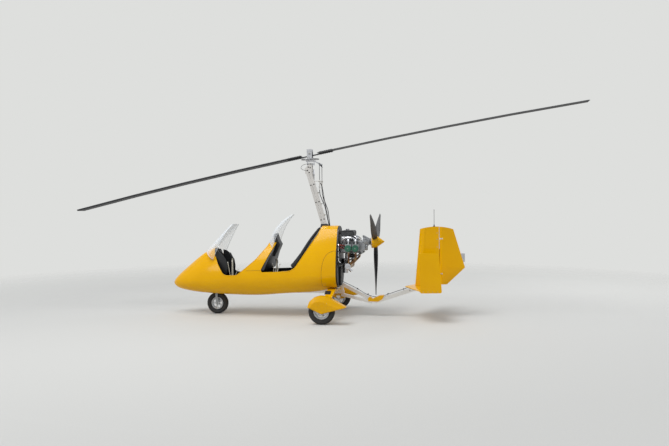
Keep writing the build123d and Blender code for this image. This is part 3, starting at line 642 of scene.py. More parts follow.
def make_camera():
    """Stands the camera where the photograph was taken from."""
    ahead = Vector((-math.sin(CAMERA_YAW), math.cos(CAMERA_YAW), 0))
    right = Vector((math.cos(CAMERA_YAW), math.sin(CAMERA_YAW), 0))
    up = Vector(UP)
    look = ahead * math.cos(CAMERA_DOWN) - up * math.sin(CAMERA_DOWN)
    top = up * math.cos(CAMERA_DOWN) + ahead * math.sin(CAMERA_DOWN)
    side = right * math.cos(CAMERA_ROLL) + top * math.sin(CAMERA_ROLL)
    top = top * math.cos(CAMERA_ROLL) - right * math.sin(CAMERA_ROLL)
    lens = bpy.data.cameras.new("camera")
    lens.sensor_width = SENSOR
    lens.lens = FOCAL_PIXELS / PHOTO_WIDTH * SENSOR
    lens.clip_end = 400
    camera = linked("camera", lens)
    turn = Matrix((side, top, -look)).transposed().to_4x4()
    camera.matrix_world = Matrix.Translation(CAMERA_AT) @ turn
    bpy.context.scene.camera = camera


FLOOR_RADIUS = 150


def make_floor():
    """A plain pale floor that fades into the pale surround far away."""
    shape = bmesh.new()
    bmesh.ops.create_circle(shape, cap_ends=True, segments=96, radius=FLOOR_RADIUS)
    floor = linked("studio_floor", meshed("studio_floor", shape))
    made = bpy.data.materials.new("pale_floor")
    made.use_nodes = True
    tree = made.node_tree
    tree.nodes.clear()
    place = add(tree, "ShaderNodeTexCoord")
    away = add(tree, "ShaderNodeVectorMath", {0: (place, "Object")}, operation="LENGTH")
    fade = spread(tree, (away, 1), 5.5, 11, 0, 1)
    grain = noise(tree, place, 60, detail=3)
    tones = blend_colours(tree, (grain, 0), "#CFCFCC", "#C7C7C4")
    matt = add(tree, "ShaderNodeBsdfPrincipled", {"Base Color": (tones, 2), "Roughness": 0.75})
    clear = add(tree, "ShaderNodeBsdfTransparent")
    mix = add(tree, "ShaderNodeMixShader", {0: (fade, 0), 1: (matt, 0), 2: (clear, 0)})
    add(tree, "ShaderNodeOutputMaterial", {"Surface": (mix, 0)})
    floor.data.materials.append(made)


SKY_LIGHT = 0.62
SUN_LIGHT = 1.25


def lamp(name, kind, energy, stand, aim):
    """A lamp at a place in metres, which shines along the aim."""
    made = bpy.data.lights.new(name, kind)
    made.energy = energy
    turn = aim.to_track_quat("-Z", "Y").to_matrix().to_4x4()
    linked(name, made).matrix_world = Matrix.Translation(stand) @ turn
    return made


def make_light():
    """Soft light from all round, with three broad lamps and a soft sun."""
    world = bpy.data.worlds.new("studio")
    world.use_nodes = True
    tree = world.node_tree
    tree.nodes.clear()
    place = add(tree, "ShaderNodeTexCoord")
    parts = add(tree, "ShaderNodeSeparateXYZ", {0: (place, "Generated")})
    ramp = add(tree, "ShaderNodeValToRGB", {0: (spread(tree, (parts, 2), -1, 1, 0, 1), 0)})
    stops = ramp.color_ramp.elements
    stops[0].color = colour("#A8A7A4")
    stops[1].color = colour("#F2F4F7")
    for position, code in ((0.49, "#C2C1BF"), (0.52, "#E4E5E6"), (0.7, "#D5D8DC")):
        stops.new(position).color = colour(code)
    ray = add(tree, "ShaderNodeLightPath")
    shine = add(tree, "ShaderNodeMath", {0: (ray, "Is Glossy Ray"), 1: (ray, "Is Transmission Ray")},
                operation="MAXIMUM")
    strength = spread(tree, (shine, 0), 0, 1, SKY_LIGHT, 1.0)
    lit = add(tree, "ShaderNodeBackground", {"Color": (ramp, 0), "Strength": (strength, 0)})
    seen = add(tree, "ShaderNodeBackground", {"Color": colour("#DEDFDD"), "Strength": 1.0})
    mix = add(tree, "ShaderNodeMixShader", {0: (ray, "Is Camera Ray"), 1: (lit, 0), 2: (seen, 0)})
    add(tree, "ShaderNodeOutputWorld", {"Surface": (mix, 0)})
    bpy.context.scene.world = world
    # Lamp: name, place, size, watts
    lamps = [
        ("overhead", (-1.0, -2.0, 7.5), 5.0, 190),
        ("port_front", (-6.5, -7.0, 4.5), 3.0, 95),
        ("aft_rim", (7.0, 5.0, 5.0), 3.0, 120),
    ]
    for name, stand, size, watts in lamps:
        disk = lamp(name, "AREA", watts, stand, Vector((0, 0, 1.0)) - Vector(stand))
        disk.shape = "DISK"
        disk.size = size
    sun = lamp("soft_sun", "SUN", SUN_LIGHT, (0, 0, 0), Vector((0.35, 0.55, -0.9)))
    sun.angle = math.radians(30)


bpy.context.scene.view_settings.view_transform = "Standard"
make_camera()
make_floor()
make_light()
dress_frame()


# Wheels: body, tyre node, middle, tyre radius, rim radius, half width
WHEELS = [
    ("main_wheel_left", "main_tyre_left", (AXLE_X, -HALF_TRACK, MAIN_RADIUS), MAIN_RADIUS, 120.3, 52),
    ("main_wheel_right", "main_tyre_right", (AXLE_X, HALF_TRACK, MAIN_RADIUS), MAIN_RADIUS, 120.3, 52),
    ("nose_wheel", "nose_tyre", (NOSE_X, 0, NOSE_RADIUS), NOSE_RADIUS, 100.3, 49),
]
LUGS = 60


def make_tyre(body, node, axle, outer, bead, half):
    """Tyre carcass with side rings, four grooves round the tread and notched shoulders."""
    depth = outer - bead
    side = [(bead, half * 0.6), (bead + 5, half * 0.72), (bead + depth * 0.16, half * 0.88),
            (bead + depth * 0.2, half * 0.93), (bead + depth * 0.24, half * 0.9),
            (bead + depth * 0.45, half * 0.985), (bead + depth * 0.6, half * 0.97),
            (bead + depth * 0.64, half * 0.985), (bead + depth * 0.7, half * 0.93),
            (outer - 11, half * 0.8), (outer - 4, half * 0.68)]
    tread = [(outer - 2.2, half * 0.55), (outer - 5, half * 0.53), (outer - 5, half * 0.47),
             (outer - 1, half * 0.45), (outer - 0.2, half * 0.2), (outer - 4, half * 0.18),
             (outer - 4, half * 0.1), (outer, half * 0.08)]
    rows = [(y, r) for r, y in side + tread]
    rows = rows + [(-y, r) for y, r in reversed(rows)]
    steps = LUGS * 3
    shape = lathe(rows, axle, STARBOARD, steps, ring=True)
    middle = at(*axle)
    for vert in shape.verts:
        off = vert.co - middle
        radius = math.hypot(off.x, off.z) * 1000
        if half * 0.5 < abs(off.y) * 1000 < half * 0.82 and radius > outer - 12:
            turn = round(math.atan2(off.z, off.x) / (2 * math.pi) * steps) % 3
            if turn == 0:
                shrink = (radius - 3.5) / radius
                vert.co.x = middle.x + off.x * shrink
                vert.co.z = middle.z + off.z * shrink
    made = piece(node + "_moulded", shape, "tyre_rubber", body, 28)
    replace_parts(made, node)


def ring_of(centre, radius, count, side):
    """Places round a wheel's side, 5 mm off its middle, facing outward, for its fasteners."""
    x, y, z = centre
    rows = []
    for k in range(count):
        t = 2 * math.pi * k / count + math.pi / count
        rows.append(((x + radius * math.cos(t), y + side * 5, z + radius * math.sin(t)), (0, side, 0)))
    return rows


def make_wheel_fittings(body, axle, bead):
    """Rolled rim lips, hub cap, half-shell bolts and a valve stem."""
    x, y, z = axle
    main = "main" in body
    shape = bmesh.new()
    for side in SIDES:
        lip = [(side * 26, bead - 1.2), (side * 32.5, bead - 0.8), (side * 35, bead - 3),
               (side * 35, bead - 6), (side * 31, bead - 9), (side * 27, bead - 14),
               (side * 20, bead - 16), (side * 20, bead - 11)]
        lathe(lip, axle, STARBOARD, 96, shape, ring=True)
    piece(body + "_rim_lips", shape, "wheel_silver", body)
    hub = bead * 0.27
    cap = bmesh.new()
    start = 26 if main else 23
    for side in SIDES:
        if main and side * y < 0:
            continue
        rows = [(side * (start - 2), 13), (side * start, hub * 0.95), (side * (start + 6), hub * 0.9),
                (side * (start + 11), hub * 0.6), (side * (start + 12), 13)]
        lathe(rows, axle, STARBOARD, 40, cap, ring=True)
    piece(body + "_hub_caps", cap, "machined_aluminium", body)
    count = 6 if main else 5
    bolts = []
    for side in SIDES:
        for radius in (bead * 0.36, bead * 0.8):
            bolts += ring_of(axle, radius, count, side)
    fasteners(body + "_rim_bolts", bolts, "zinc_steel", body, 4.5, 4, 7)
    side = -1 if y <= 0 else 1
    stem = hose([(x + bead * 0.86, y + side * 5, z), (x + bead * 0.8, y + side * 16, z),
                 (x + bead * 0.76, y + side * 30, z)], 3.2)
    drum((x + bead * 0.755, y + side * 32, z), (-0.3, side, 0), 4.2, 8, stem, 12)
    piece(body + "_valve", stem, "rubber_seal", body)


def make_brakes():
    """Brake discs inboard of the main wheels, and their callipers."""
    for side, body in zip(SIDES, ("main_wheel_left", "main_wheel_right")):
        middle = (AXLE_X, side * (HALF_TRACK - 44), MAIN_RADIUS)
        disc = lathe([(-2, 40), (-2, 82), (2, 82), (2, 40)], middle, STARBOARD, 72, ring=True)
        rows = [(side * 14, 14), (side * 14, 26), (side * -2, 42), (side * -2, 14)]
        lathe(rows, middle, STARBOARD, 40, disc, ring=True)
        piece(body + "_brake_disc", disc, "machined_aluminium", body)
        calliper = block((46, 34, 9), (AXLE_X + 62, side * (HALF_TRACK - 51), MAIN_RADIUS + 52),
                         along=(0.77, 0, 0.64), up=(-0.64, 0, 0.77), edge=3)
        piece(body.replace("wheel", "brake") + "_calliper", calliper, "cast_aluminium")


for row in WHEELS:
    make_tyre(*row)
    make_wheel_fittings(row[0], row[2], row[4])
make_brakes()


def slat_tree():
    """Node tree that repeats a thin bar along a straight row, and needs no shape handed in."""
    tree, given = start_tree("set_slats", [
        ("Start", "Geometry"), ("First", "Vector"), ("Step", "Vector"), ("Count", "Int"),
        ("Size", "Vector")])
    row = add(tree, "GeometryNodeMeshLine", {
        "Count": (given, "Count"), "Start Location": (given, "First"), "Offset": (given, "Step")})
    bar = add(tree, "GeometryNodeMeshCube", {"Size": (given, "Size")})
    stood = add(tree, "GeometryNodeInstanceOnPoints", {"Points": (row, 0), "Instance": (bar, 0)})
    return end_tree(tree, given, stood)


SLAT_TREE = slat_tree()


def slats(name, first, step, count, size, finish):
    """A row of thin bars: first place, step and size of a bar, in millimetres."""
    repeated(name, bpy.data.meshes.new(name), SLAT_TREE, {
        "First": at(*first), "Step": at(*step), "Count": count, "Size": at(*size)}, finish)


def merged_copy(node):
    """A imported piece's mesh with its loose triangles joined."""
    shape = bmesh.new()
    shape.from_mesh(NODES[node].data)
    bmesh.ops.remove_doubles(shape, verts=shape.verts, dist=1e-5)
    return shape


BODY_AXIS = 0.64


def outward(face):
    """Whether a face of the body shell looks away from the middle of the body."""
    middle = face.calc_center_median()
    return face.normal.y * middle.y + face.normal.z * (middle.z - BODY_AXIS) > 0


def chains(edges):
    """Joins loose edges into runs of vertices, in the same order each time."""
    left = dict.fromkeys(edges)
    runs = []
    while left:
        edge = next(iter(left))
        del left[edge]
        run = list(edge.verts)
        for back in (False, True):
            while True:
                tip = run[0] if back else run[-1]
                onward = [e for e in tip.link_edges if e in left]
                if not onward:
                    break
                del left[onward[0]]
                other = onward[0].other_vert(tip)
                run = [other] + run if back else run + [other]
        runs.append(run)
    return runs


def tube_mesh(shape, places, radius, sides=8):
    """Sweeps a round section along places in metres, closed at the ends."""
    rings = []
    for k, place in enumerate(places):
        ahead = (places[min(k + 1, len(places) - 1)] - places[max(k - 1, 0)]).normalized()
        side = ahead.cross(Vector((0.13, 0.31, 0.94))).normalized()
        other = ahead.cross(side)
        rings.append([shape.verts.new(p) for p in around(place, side, other, radius, sides)])
    bridge(shape, rings)


def spaced(places, gap):
    """Drops places nearer to the last kept one than the gap, in metres."""
    kept = [places[0]]
    for place in places[1:-1]:
        if (place - kept[-1]).length > gap:
            kept.append(place)
    return kept + [places[-1]]


# Where the cockpit openings begin and end, and how low they reach, in metres
OPENINGS_FRONT = -1.72
OPENINGS_REAR = 0.23
OPENINGS_FOOT = 0.65
# Edges folded by more than this many radians are a rim, and how far apart a lip's rings stand
RIM_FOLD = 0.7
SCREEN_FOLD = 0.8
RING_STEP = 0.004


def make_rim_lips():
    """Rolled lips round the cockpit openings."""
    lips = bmesh.new()
    for node in ("hull", "divider_fairing"):
        shape = merged_copy(node)
        chosen = []
        for edge in shape.edges:
            if len(edge.link_faces) != 2 or edge.calc_face_angle(0) < RIM_FOLD:
                continue
            cut = [f for f in edge.link_faces if abs(f.normal.y) < 0.01]
            skin = [f for f in edge.link_faces if f not in cut and outward(f)]
            middle = (edge.verts[0].co + edge.verts[1].co) / 2
            if len(cut) != 1 or not skin or middle.z < OPENINGS_FOOT:
                continue
            if not OPENINGS_FRONT < middle.x < OPENINGS_REAR:
                continue
            if abs(cut[0].normal.z) > 0.9997 or abs(cut[0].normal.x) > 0.9997:
                continue
            chosen.append(edge)
        inset = {v.index: v.co - v.normal * 0.002 for v in shape.verts}
        for run in chains(chosen):
            if len(run) > 6:
                tube_mesh(lips, spaced([inset[v.index] for v in run], RING_STEP), 5.5)
        shape.free()
    piece("cockpit_rim_lips", lips, "yellow_gelcoat")


# The lining's thickness in millimetres, and where it begins and ends and its lowest height in metres
LINING_THICK = 1.2
LINING_FRONT = -2.05
LINING_REAR = 0.44
LINING_FOOT = 0.45


def make_lining():
    """Black lining on the inside of the shell, over the floor and ahead of the engine."""
    out = bmesh.new()
    for node in ("hull", "divider_fairing"):
        shape = merged_copy(node)
        unwanted = []
        for face in shape.faces:
            middle = face.calc_center_median()
            inside = abs(face.normal.y) > 0.01 or abs(middle.y) < 0.02
            within = LINING_FRONT < middle.x < LINING_REAR and middle.z >= LINING_FOOT
            if outward(face) or not inside or not within:
                unwanted.append(face)
        bmesh.ops.delete(shape, geom=unwanted, context="FACES")
        for vert in shape.verts:
            vert.co = vert.co + vert.normal * 0.0006
        holder = linked(node + "_lining", meshed(node + "_lining", shape))
        wall = holder.modifiers.new("wall", "SOLIDIFY")
        wall.thickness = LINING_THICK / 1000
        wall.offset = 1
        made = evaluated(holder)
        bpy.data.objects.remove(holder)
        out.from_mesh(made)
        bpy.data.meshes.remove(made)
    dress_piece("cockpit_lining", meshed("cockpit_lining", out), "trim_black")


def body_tree(node):
    """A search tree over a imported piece's faces."""
    shape = merged_copy(node)
    tree = BVHTree.FromBMesh(shape)
    shape.free()
    return tree


TREES = {name: body_tree(name) for name in ("hull", "divider_fairing", "cheek_panels", "spats",
                                            "centre_fin", "end_fins")}


def on_side(node, x, z, side, lift=0.0):
    """Where a piece's side is at a station and height, and which way it faces."""
    place, facing = TREES[node].ray_cast(at(x, side * 2000, z), Vector((0, -side, 0)))[:2]
    if place is None:
        place, facing = TREES[node].find_nearest(at(x, side * 400, z))[:2]
    if facing.y * side < 0:
        facing = -facing
    return tuple(place * 1000 + facing * lift), tuple(facing)


# The front screen's foot is sawn along a sloping plane: a place on it, and its upward facing
SCREEN_CUT = Vector((-1595, 0, 934))
SCREEN_FACING = Vector((0.63, 0, 0.777)).normalized()


def front_screen():
    """The front windscreen with its foot sawn along a sloping plane."""
    shape = merged_copy("front_windscreen")
    sawn = bmesh.ops.bisect_plane(shape, geom=shape.verts[:] + shape.edges[:] + shape.faces[:],
                                  dist=1e-6, plane_co=SCREEN_CUT / 1000, plane_no=SCREEN_FACING,
                                  clear_inner=True)
    rim = [e for e in sawn["geom_cut"] if isinstance(e, bmesh.types.BMEdge)]
    bmesh.ops.triangle_fill(shape, use_beauty=True, edges=rim)
    return shape


def make_screens():
    """The sawn front screen, near-white tubes along the edges of both that paint their highlight, and the
    screwed foot of the rear one.
    """
    edges = bmesh.new()
    strips = bmesh.new()
    screws = []
    for node, shape in (("front_windscreen", front_screen()),
                        ("rear_windscreen", merged_copy("rear_windscreen"))):
        bmesh.ops.recalc_face_normals(shape, faces=shape.faces)
        sharp = [e for e in shape.edges
                 if len(e.link_faces) == 2 and e.calc_face_angle(0) > SCREEN_FOLD]
        foot = []
        for run in chains(sharp):
            # Near-white tubes along the sharp edges: a painted highlight
            places = spaced([v.co.copy() for v in run], RING_STEP)
            if len(places) > 3:
                tube_mesh(edges, places, 1.9, 6)
            for place in places:
                gaps = [TREES[n].find_nearest(place) for n in ("hull", "divider_fairing")]
                near = min(gaps, key=lambda g: g[3])
                if near[3] < 0.0015 and node == "rear_windscreen":
                    foot.append((place, near[1]))
        if node == "front_windscreen":
            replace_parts(piece("front_screen_sawn", shape, "clear_acrylic", angle=40), node)
            continue
        shape.free()
        for side in SIDES:
            row = sorted((p for p in foot if p[0].y * side > 0.02), key=lambda p: p[0].x)
            line = [row[0][0]]
            for place, facing in row:
                if (place - line[-1]).length > 0.05:
                    line.append(place)
                    screws.append((tuple(place * 1000 + facing * 3), tuple(facing)))
            tube_mesh(strips, line, 4.5, 8)
    piece("screen_edge_highlights", edges, "edge_acrylic")
    piece("screen_foot_strips", strips, "edge_acrylic")
    fasteners("screen_screws", screws, "dial_black", radius=4, height=3, washer=6, sides=12)


def make_screen_foot():
    """The moulded strip that closes the front screen's foot down to the bow, and its screws. A dark tube
    along the strip's lower edge paints its shadow line on the hull.
    """
    ahead = Vector(STARBOARD).cross(SCREEN_FACING)
    screen = body_tree("front_windscreen")
    rows = []
    for k in range(-46, 47):
        turn = math.radians(2 * k)
        out = ahead * -math.cos(turn) + Vector((0, math.sin(turn), 0))
        edge, facing = screen.ray_cast(SCREEN_CUT / 1000 + out * 0.6, -out)[:2]
        if edge is None:
            continue
        rise = (SCREEN_FACING - facing * SCREEN_FACING.dot(facing)).normalized()
        low, low_facing = TREES["hull"].find_nearest(edge)[:2]
        rows.append((edge, facing, rise, low, low_facing))
    strip = bmesh.new()
    seal = []
    screws = []
    rings = []
    for k, (edge, facing, rise, low, low_facing) in enumerate(rows):
        near = rows[min(k + 1, len(rows) - 1)][0] - rows[max(k - 1, 0)][0]
        flat = near.cross(edge - low).normalized()
        if flat.dot(facing) < 0:
            flat = -flat
        top = edge + rise * 0.007
        foot = low - low_facing * 0.001
        rings.append([strip.verts.new(p) for p in (
            top + facing * 0.0014, edge + facing * 0.002, foot + flat * 0.004,
            foot - flat * 0.002, edge - facing * 0.0044, top - facing * 0.0044)])
        seal.append(low + flat * 0.005)
        if k % 5 == 3:
            middle = (edge + low) / 2 + flat * 0.0035
            screws.append((tuple(middle * 1000), tuple(flat)))
    bridge(strip, rings)
    piece("screen_foot_moulding", strip, "foot_moulding", angle=30)
    # A dark tube where the strip meets the hull: a painted shadow line
    line = bmesh.new()
    tube_mesh(line, seal, 3, 8)
    piece("screen_foot_shadow_line", line, "rubber_seal")
    fasteners("screen_foot_screws", screws, "dial_black", radius=4.5, height=2.5, washer=7, sides=12)


def make_cheek_seams():
    """The dark shadow gap round each cheek panel, and along the joint under the divider."""
    gaps = bmesh.new()
    for side in SIDES:
        line = [on_side("cheek_panels", x, z, side, 0.4)[0] for x, z in CHEEK_EDGE]
        tube_mesh(gaps, [at(*p) for p in eased(line, 4)], 1.8, 6)
        line = [on_side("divider_fairing", x, 752 + (x + 985) * 0.03, side, 0.2)[0]
                for x in range(-985, -700, 20)]
        tube_mesh(gaps, [at(*p) for p in line], 1.5, 6)
    piece("panel_gaps", gaps, "rubber_seal")


PRESSURE = 4
SIM_FRAMES = 20
# Cushions, in millimetres: grain of the even mesh, how far the skin starts in, how far it may swell
CUSHION_VOXEL = 5.5
CUSHION_SHRINK = 6
CUSHION_SWELL = 12


def stuffed(node, furrows):
    """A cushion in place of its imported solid, swollen by air pressure inside a cloth skin.

    Furrows are sewn lines: a place on it, the direction across it, depth and half width.
    """
    name = node + "_cover"
    holder = linked(name, meshed(name, merged_copy(node)))
    remesh = holder.modifiers.new("even", "REMESH")
    remesh.mode = "VOXEL"
    remesh.voxel_size = CUSHION_VOXEL / 1000
    even = evaluated(holder)
    holder.modifiers.clear()
    facings = [Vector(v.normal) for v in even.vertices]
    for vert, facing in zip(even.vertices, facings):
        vert.co = vert.co - facing * CUSHION_SHRINK / 1000
    holder.data = even
    start = [v.co.copy() for v in even.vertices]
    skin = holder.modifiers.new("air", "CLOTH")
    skin.settings.quality = 4
    skin.settings.use_pressure = True
    skin.settings.uniform_pressure_force = PRESSURE
    skin.settings.effector_weights.gravity = 0
    skin.point_cache.frame_start = 1
    skin.point_cache.frame_end = SIM_FRAMES
    for frame_number in range(1, SIM_FRAMES + 1):
        bpy.context.scene.frame_set(frame_number)
    swollen = evaluated(holder)
    holder.modifiers.clear()
    holder.data = swollen
    bpy.context.scene.frame_set(1)
    for vert, home in zip(swollen.vertices, start):
        moved = vert.co - home
        if moved.length > CUSHION_SWELL / 1000:
            vert.co = home + moved.normalized() * CUSHION_SWELL / 1000
    finer = holder.modifiers.new("finer", "SUBSURF")
    finer.levels = finer.render_levels = 1
    smoothed = evaluated(holder)
    bpy.data.objects.remove(holder)
    normals = [Vector(v.normal) for v in smoothed.vertices]
    for place, across, depth, half in furrows:
        middle = at(*place)
        across = Vector(across).normalized()
        for vert, normal in zip(smoothed.vertices, normals):
            off = (vert.co - middle).dot(across) * 1000
            vert.co = vert.co - normal * depth / 1000 * math.exp(-(off / half) ** 2)
    made = dress_piece(name, smoothed, "seat_fabric", angle=60)
    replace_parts(made, node)


def rows_between(start, end, count):
    """Evenly spaced places between two, leaving out both ends."""
    a = Vector(start)
    b = Vector(end)
    return [tuple(a + (b - a) * (k + 1) / (count + 1)) for k in range(count)]


def make_cushions():
    """Seat and back cushions with sewn channels across them and a border line down each side."""
    # Cushion: node, foot, head, channels, half width of the border lines
    cushions = [
        ("front_back_cushion", (-846, 0, 582), (-608, 0, 1078), 4, 138),
        ("rear_back_cushion", (-208, 0, 711), (36, 0, 1161), 4, 134),
        ("front_cushion", (-1235, 0, 500), (-925, 0, 500), 2, 162),
        ("rear_cushion", (-427, 0, 655), (-269, 0, 655), 1, 152),
    ]
    for node, foot, head, count, border in cushions:
        across = Vector(head) - Vector(foot)
        furrows = [(p, across, 4.5, 5) for p in rows_between(foot, head, count)]
        furrows += [((0, side * border, 0), STARBOARD, 4.0, 4.5) for side in SIDES]
        stuffed(node, furrows)


# Rear bolsters, head to foot: front face along X and up, distance off the middle, half depth
BOLSTERS = [(170, 1450, 118, 20), (90, 1345, 168, 23), (7, 1231, 205, 27), (-114, 1038, 258, 33),
            (-217, 902, 284, 44), (-285, 830, 292, 50)]
BOLSTER_HALF = 38
BOLSTER_BACK = Vector((0.866, 0, -0.5))
BOLSTER_SIDES = 24


def make_bolsters():
    """Side bolsters of the rear seat back, rolled and tufted, which stand proud of the rim."""
    for side, name in ((-1, "left"), (1, "right")):
        line = eased([(x, side * y, z) for x, z, y, deep in BOLSTERS], 10)
        depths = [p[0] for p in eased([(deep, 0, 0) for x, z, y, deep in BOLSTERS], 10)]
        shape = bmesh.new()
        rings = []
        last = len(line) - 1
        for k, (place, deep) in enumerate(zip(line, depths)):
            end = 1 - abs(2 * k / last - 1)
            swell = min(1, (end / 0.16) ** 0.5) if end > 0 else 0.12
            tuft = 1 - 0.09 * math.exp(-((k % 12 - 6) / 0.9) ** 2)
            middle = Vector(place) + BOLSTER_BACK * deep
            ring = []
            for n in range(BOLSTER_SIDES):
                turn = 2 * math.pi * n / BOLSTER_SIDES
                out = (Vector(STARBOARD) * math.cos(turn) * BOLSTER_HALF
                       - BOLSTER_BACK * math.sin(turn) * deep)
                ring.append(shape.verts.new((middle + out * swell * tuft) / 1000))
            rings.append(ring)
        bridge(shape, rings)
        piece("rear_back_bolster_" + name, shape, "seat_fabric", angle=70)


def make_harness():
    """Lap and shoulder straps of both seats with their buckles and slides."""
    # Seat: middle of the lap, hip anchors, top of the shoulder line, its run down the back
    seats = [
        ("front", (-1010, 0, 592), (-905, 0, 500), 176,
         [(-572, 1118), (-640, 1040), (-700, 915), (-775, 760), (-850, 640), (-960, 592)]),
        ("rear", (-300, 0, 735), (-262, 0, 640), 170,
         [(58, 1196), (4, 1130), (-60, 1010), (-126, 885), (-178, 780), (-262, 735)]),
    ]
    for name, lap, hip, reach, back in seats:
        belts = bmesh.new()
        metal = bmesh.new()
        for side in SIDES:
            line = [(hip[0], side * (reach + 12), hip[2]), (hip[0] - 8, side * (reach + 4), hip[2] + 55),
                    (lap[0] + 60, side * (reach - 46), lap[2] - 6), (lap[0], side * 34, lap[2])]
            strap(eased(line, 8), 46, (0.82, 0, 0.57), 1.8, belts)
            count = len(back) - 1
            line = [(x, side * (74 - 42 * (k / count) ** 2), z) for k, (x, z) in enumerate(back)]
            strap(eased(line, 8), 44, STARBOARD, 1.8, belts)
            x, z = back[2]
            block((30, 54, 5), (x - 6, side * 66, z + 3), metal, (0.5, 0, 0.87), STARBOARD, 2)
            block((34, 40, 7), (lap[0] + 40, side * 84, lap[2] + 3), metal, (1, 0, 0.1), STARBOARD, 2)
            block((6, 40, 60), (hip[0], side * (reach + 14), hip[2] - 6), metal, STARBOARD, AFT, 1.5)
        drum(lap, (0.1, 0, 1), 27, 15, metal, 32, 3)
        drum((lap[0], 0, lap[2] + 9), (0.1, 0, 1), 17, 8, metal, 24, 2)
        piece(name + "_harness_webbing", belts, "webbing", angle=60)
        piece(name + "_harness_metal", metal, "zinc_steel")


DIAL_MIDDLE = Vector((-1570, 0, 1028))
DIAL_OUT = Vector((0.933, 0, 0.359)).normalized()
DIAL_UP = Vector((-0.359, 0, 0.933)).normalized()
# Dials of the front panel: across, up, radius
DIALS = [(-110, 8, 38), (0, 14, 44), (110, 8, 38), (-64, -48, 17), (64, -48, 17)]


def make_dials():
    """Bezels, faces, scale marks and pointers of the instruments, with their switches."""
    bezels = bmesh.new()
    faces = bmesh.new()
    marks = bmesh.new()
    for index, (across, up, radius) in enumerate(DIALS):
        middle = DIAL_MIDDLE + Vector((0, across, 0)) + DIAL_UP * up
        rows = [(-3, radius - 1), (4, radius + 4), (6, radius + 3), (6, radius - 3), (1, radius - 5)]
        lathe(rows, middle, DIAL_OUT, 48, bezels, ring=True)
        lathe([(-3.4, 0), (-3.4, radius - 2), (-1.4, radius - 2), (-1.4, 0)], middle, DIAL_OUT, 48, faces)
        for k in range(22):
            turn = math.radians(-150 + 300 * k / 21)
            along = DIAL_UP * math.cos(turn) + Vector(STARBOARD) * math.sin(turn)
            sideways = along.cross(DIAL_OUT)
            size = (5 if k % 3 else 8) * radius / 40
            plate([(-size / 2, -0.6), (size / 2, -0.6), (size / 2, 0.6), (-size / 2, 0.6)], 0.6,
                  middle + along * (radius - 8) + DIAL_OUT * -0.9, along, sideways, marks, 0)
        turn = math.radians(-110 + 52 * index)
        along = DIAL_UP * math.cos(turn) + Vector(STARBOARD) * math.sin(turn)
        needle = [(-6, -1.4), (radius * 0.62, -0.4), (radius * 0.62, 0.4), (-6, 1.4)]
        plate(needle, 0.8, middle + DIAL_OUT * 0.2, along, along.cross(DIAL_OUT), marks, 0)
        drum(middle + DIAL_OUT * 0.6, DIAL_OUT, 3, 2, marks, 16, 0.4)
    piece("dial_bezels", bezels, "dial_black")
    piece("dial_faces", faces, "dial_black")
    piece("dial_marks", marks, "dial_white")
    switches = bmesh.new()
    for k in range(5):
        base = DIAL_MIDDLE + Vector((0, -40 + 20 * k, 0)) + DIAL_UP * -66
        drum(base + DIAL_OUT * 2, DIAL_OUT, 5, 4, switches, 16)
        drum(base + DIAL_OUT * 8 + DIAL_UP * 2, DIAL_OUT + DIAL_UP * 0.3, 1.8, 12, switches, 10, 0.5)
    piece("panel_switches", switches, "machined_aluminium")
    row = [(across + s * (radius + 10), up + t * (radius + 10)) for across, up, radius in DIALS[:3]
           for s in (-0.6, 0.6) for t in (-0.6, 0.6)]
    fasteners("panel_screws", [(DIAL_MIDDLE + Vector((0, a, 0)) + DIAL_UP * u, DIAL_OUT)
                               for a, u in row], "zinc_steel", radius=2.6, height=1.6, washer=3.6, sides=12)


def make_panel_sides():
    """Side plates of the front instrument pod."""
    outline = [(-1560, 1060), (-1500, 1045), (-1424, 985), (-1366, 890), (-1350, 790), (-1356, 680),
               (-1480, 660), (-1560, 760)]
    plates = bmesh.new()
    for side in SIDES:
        plate(outline, 14, (0, side * 201, 0), AFT, UP, plates, 3)
    piece("panel_side_plates", plates, "black_composite")


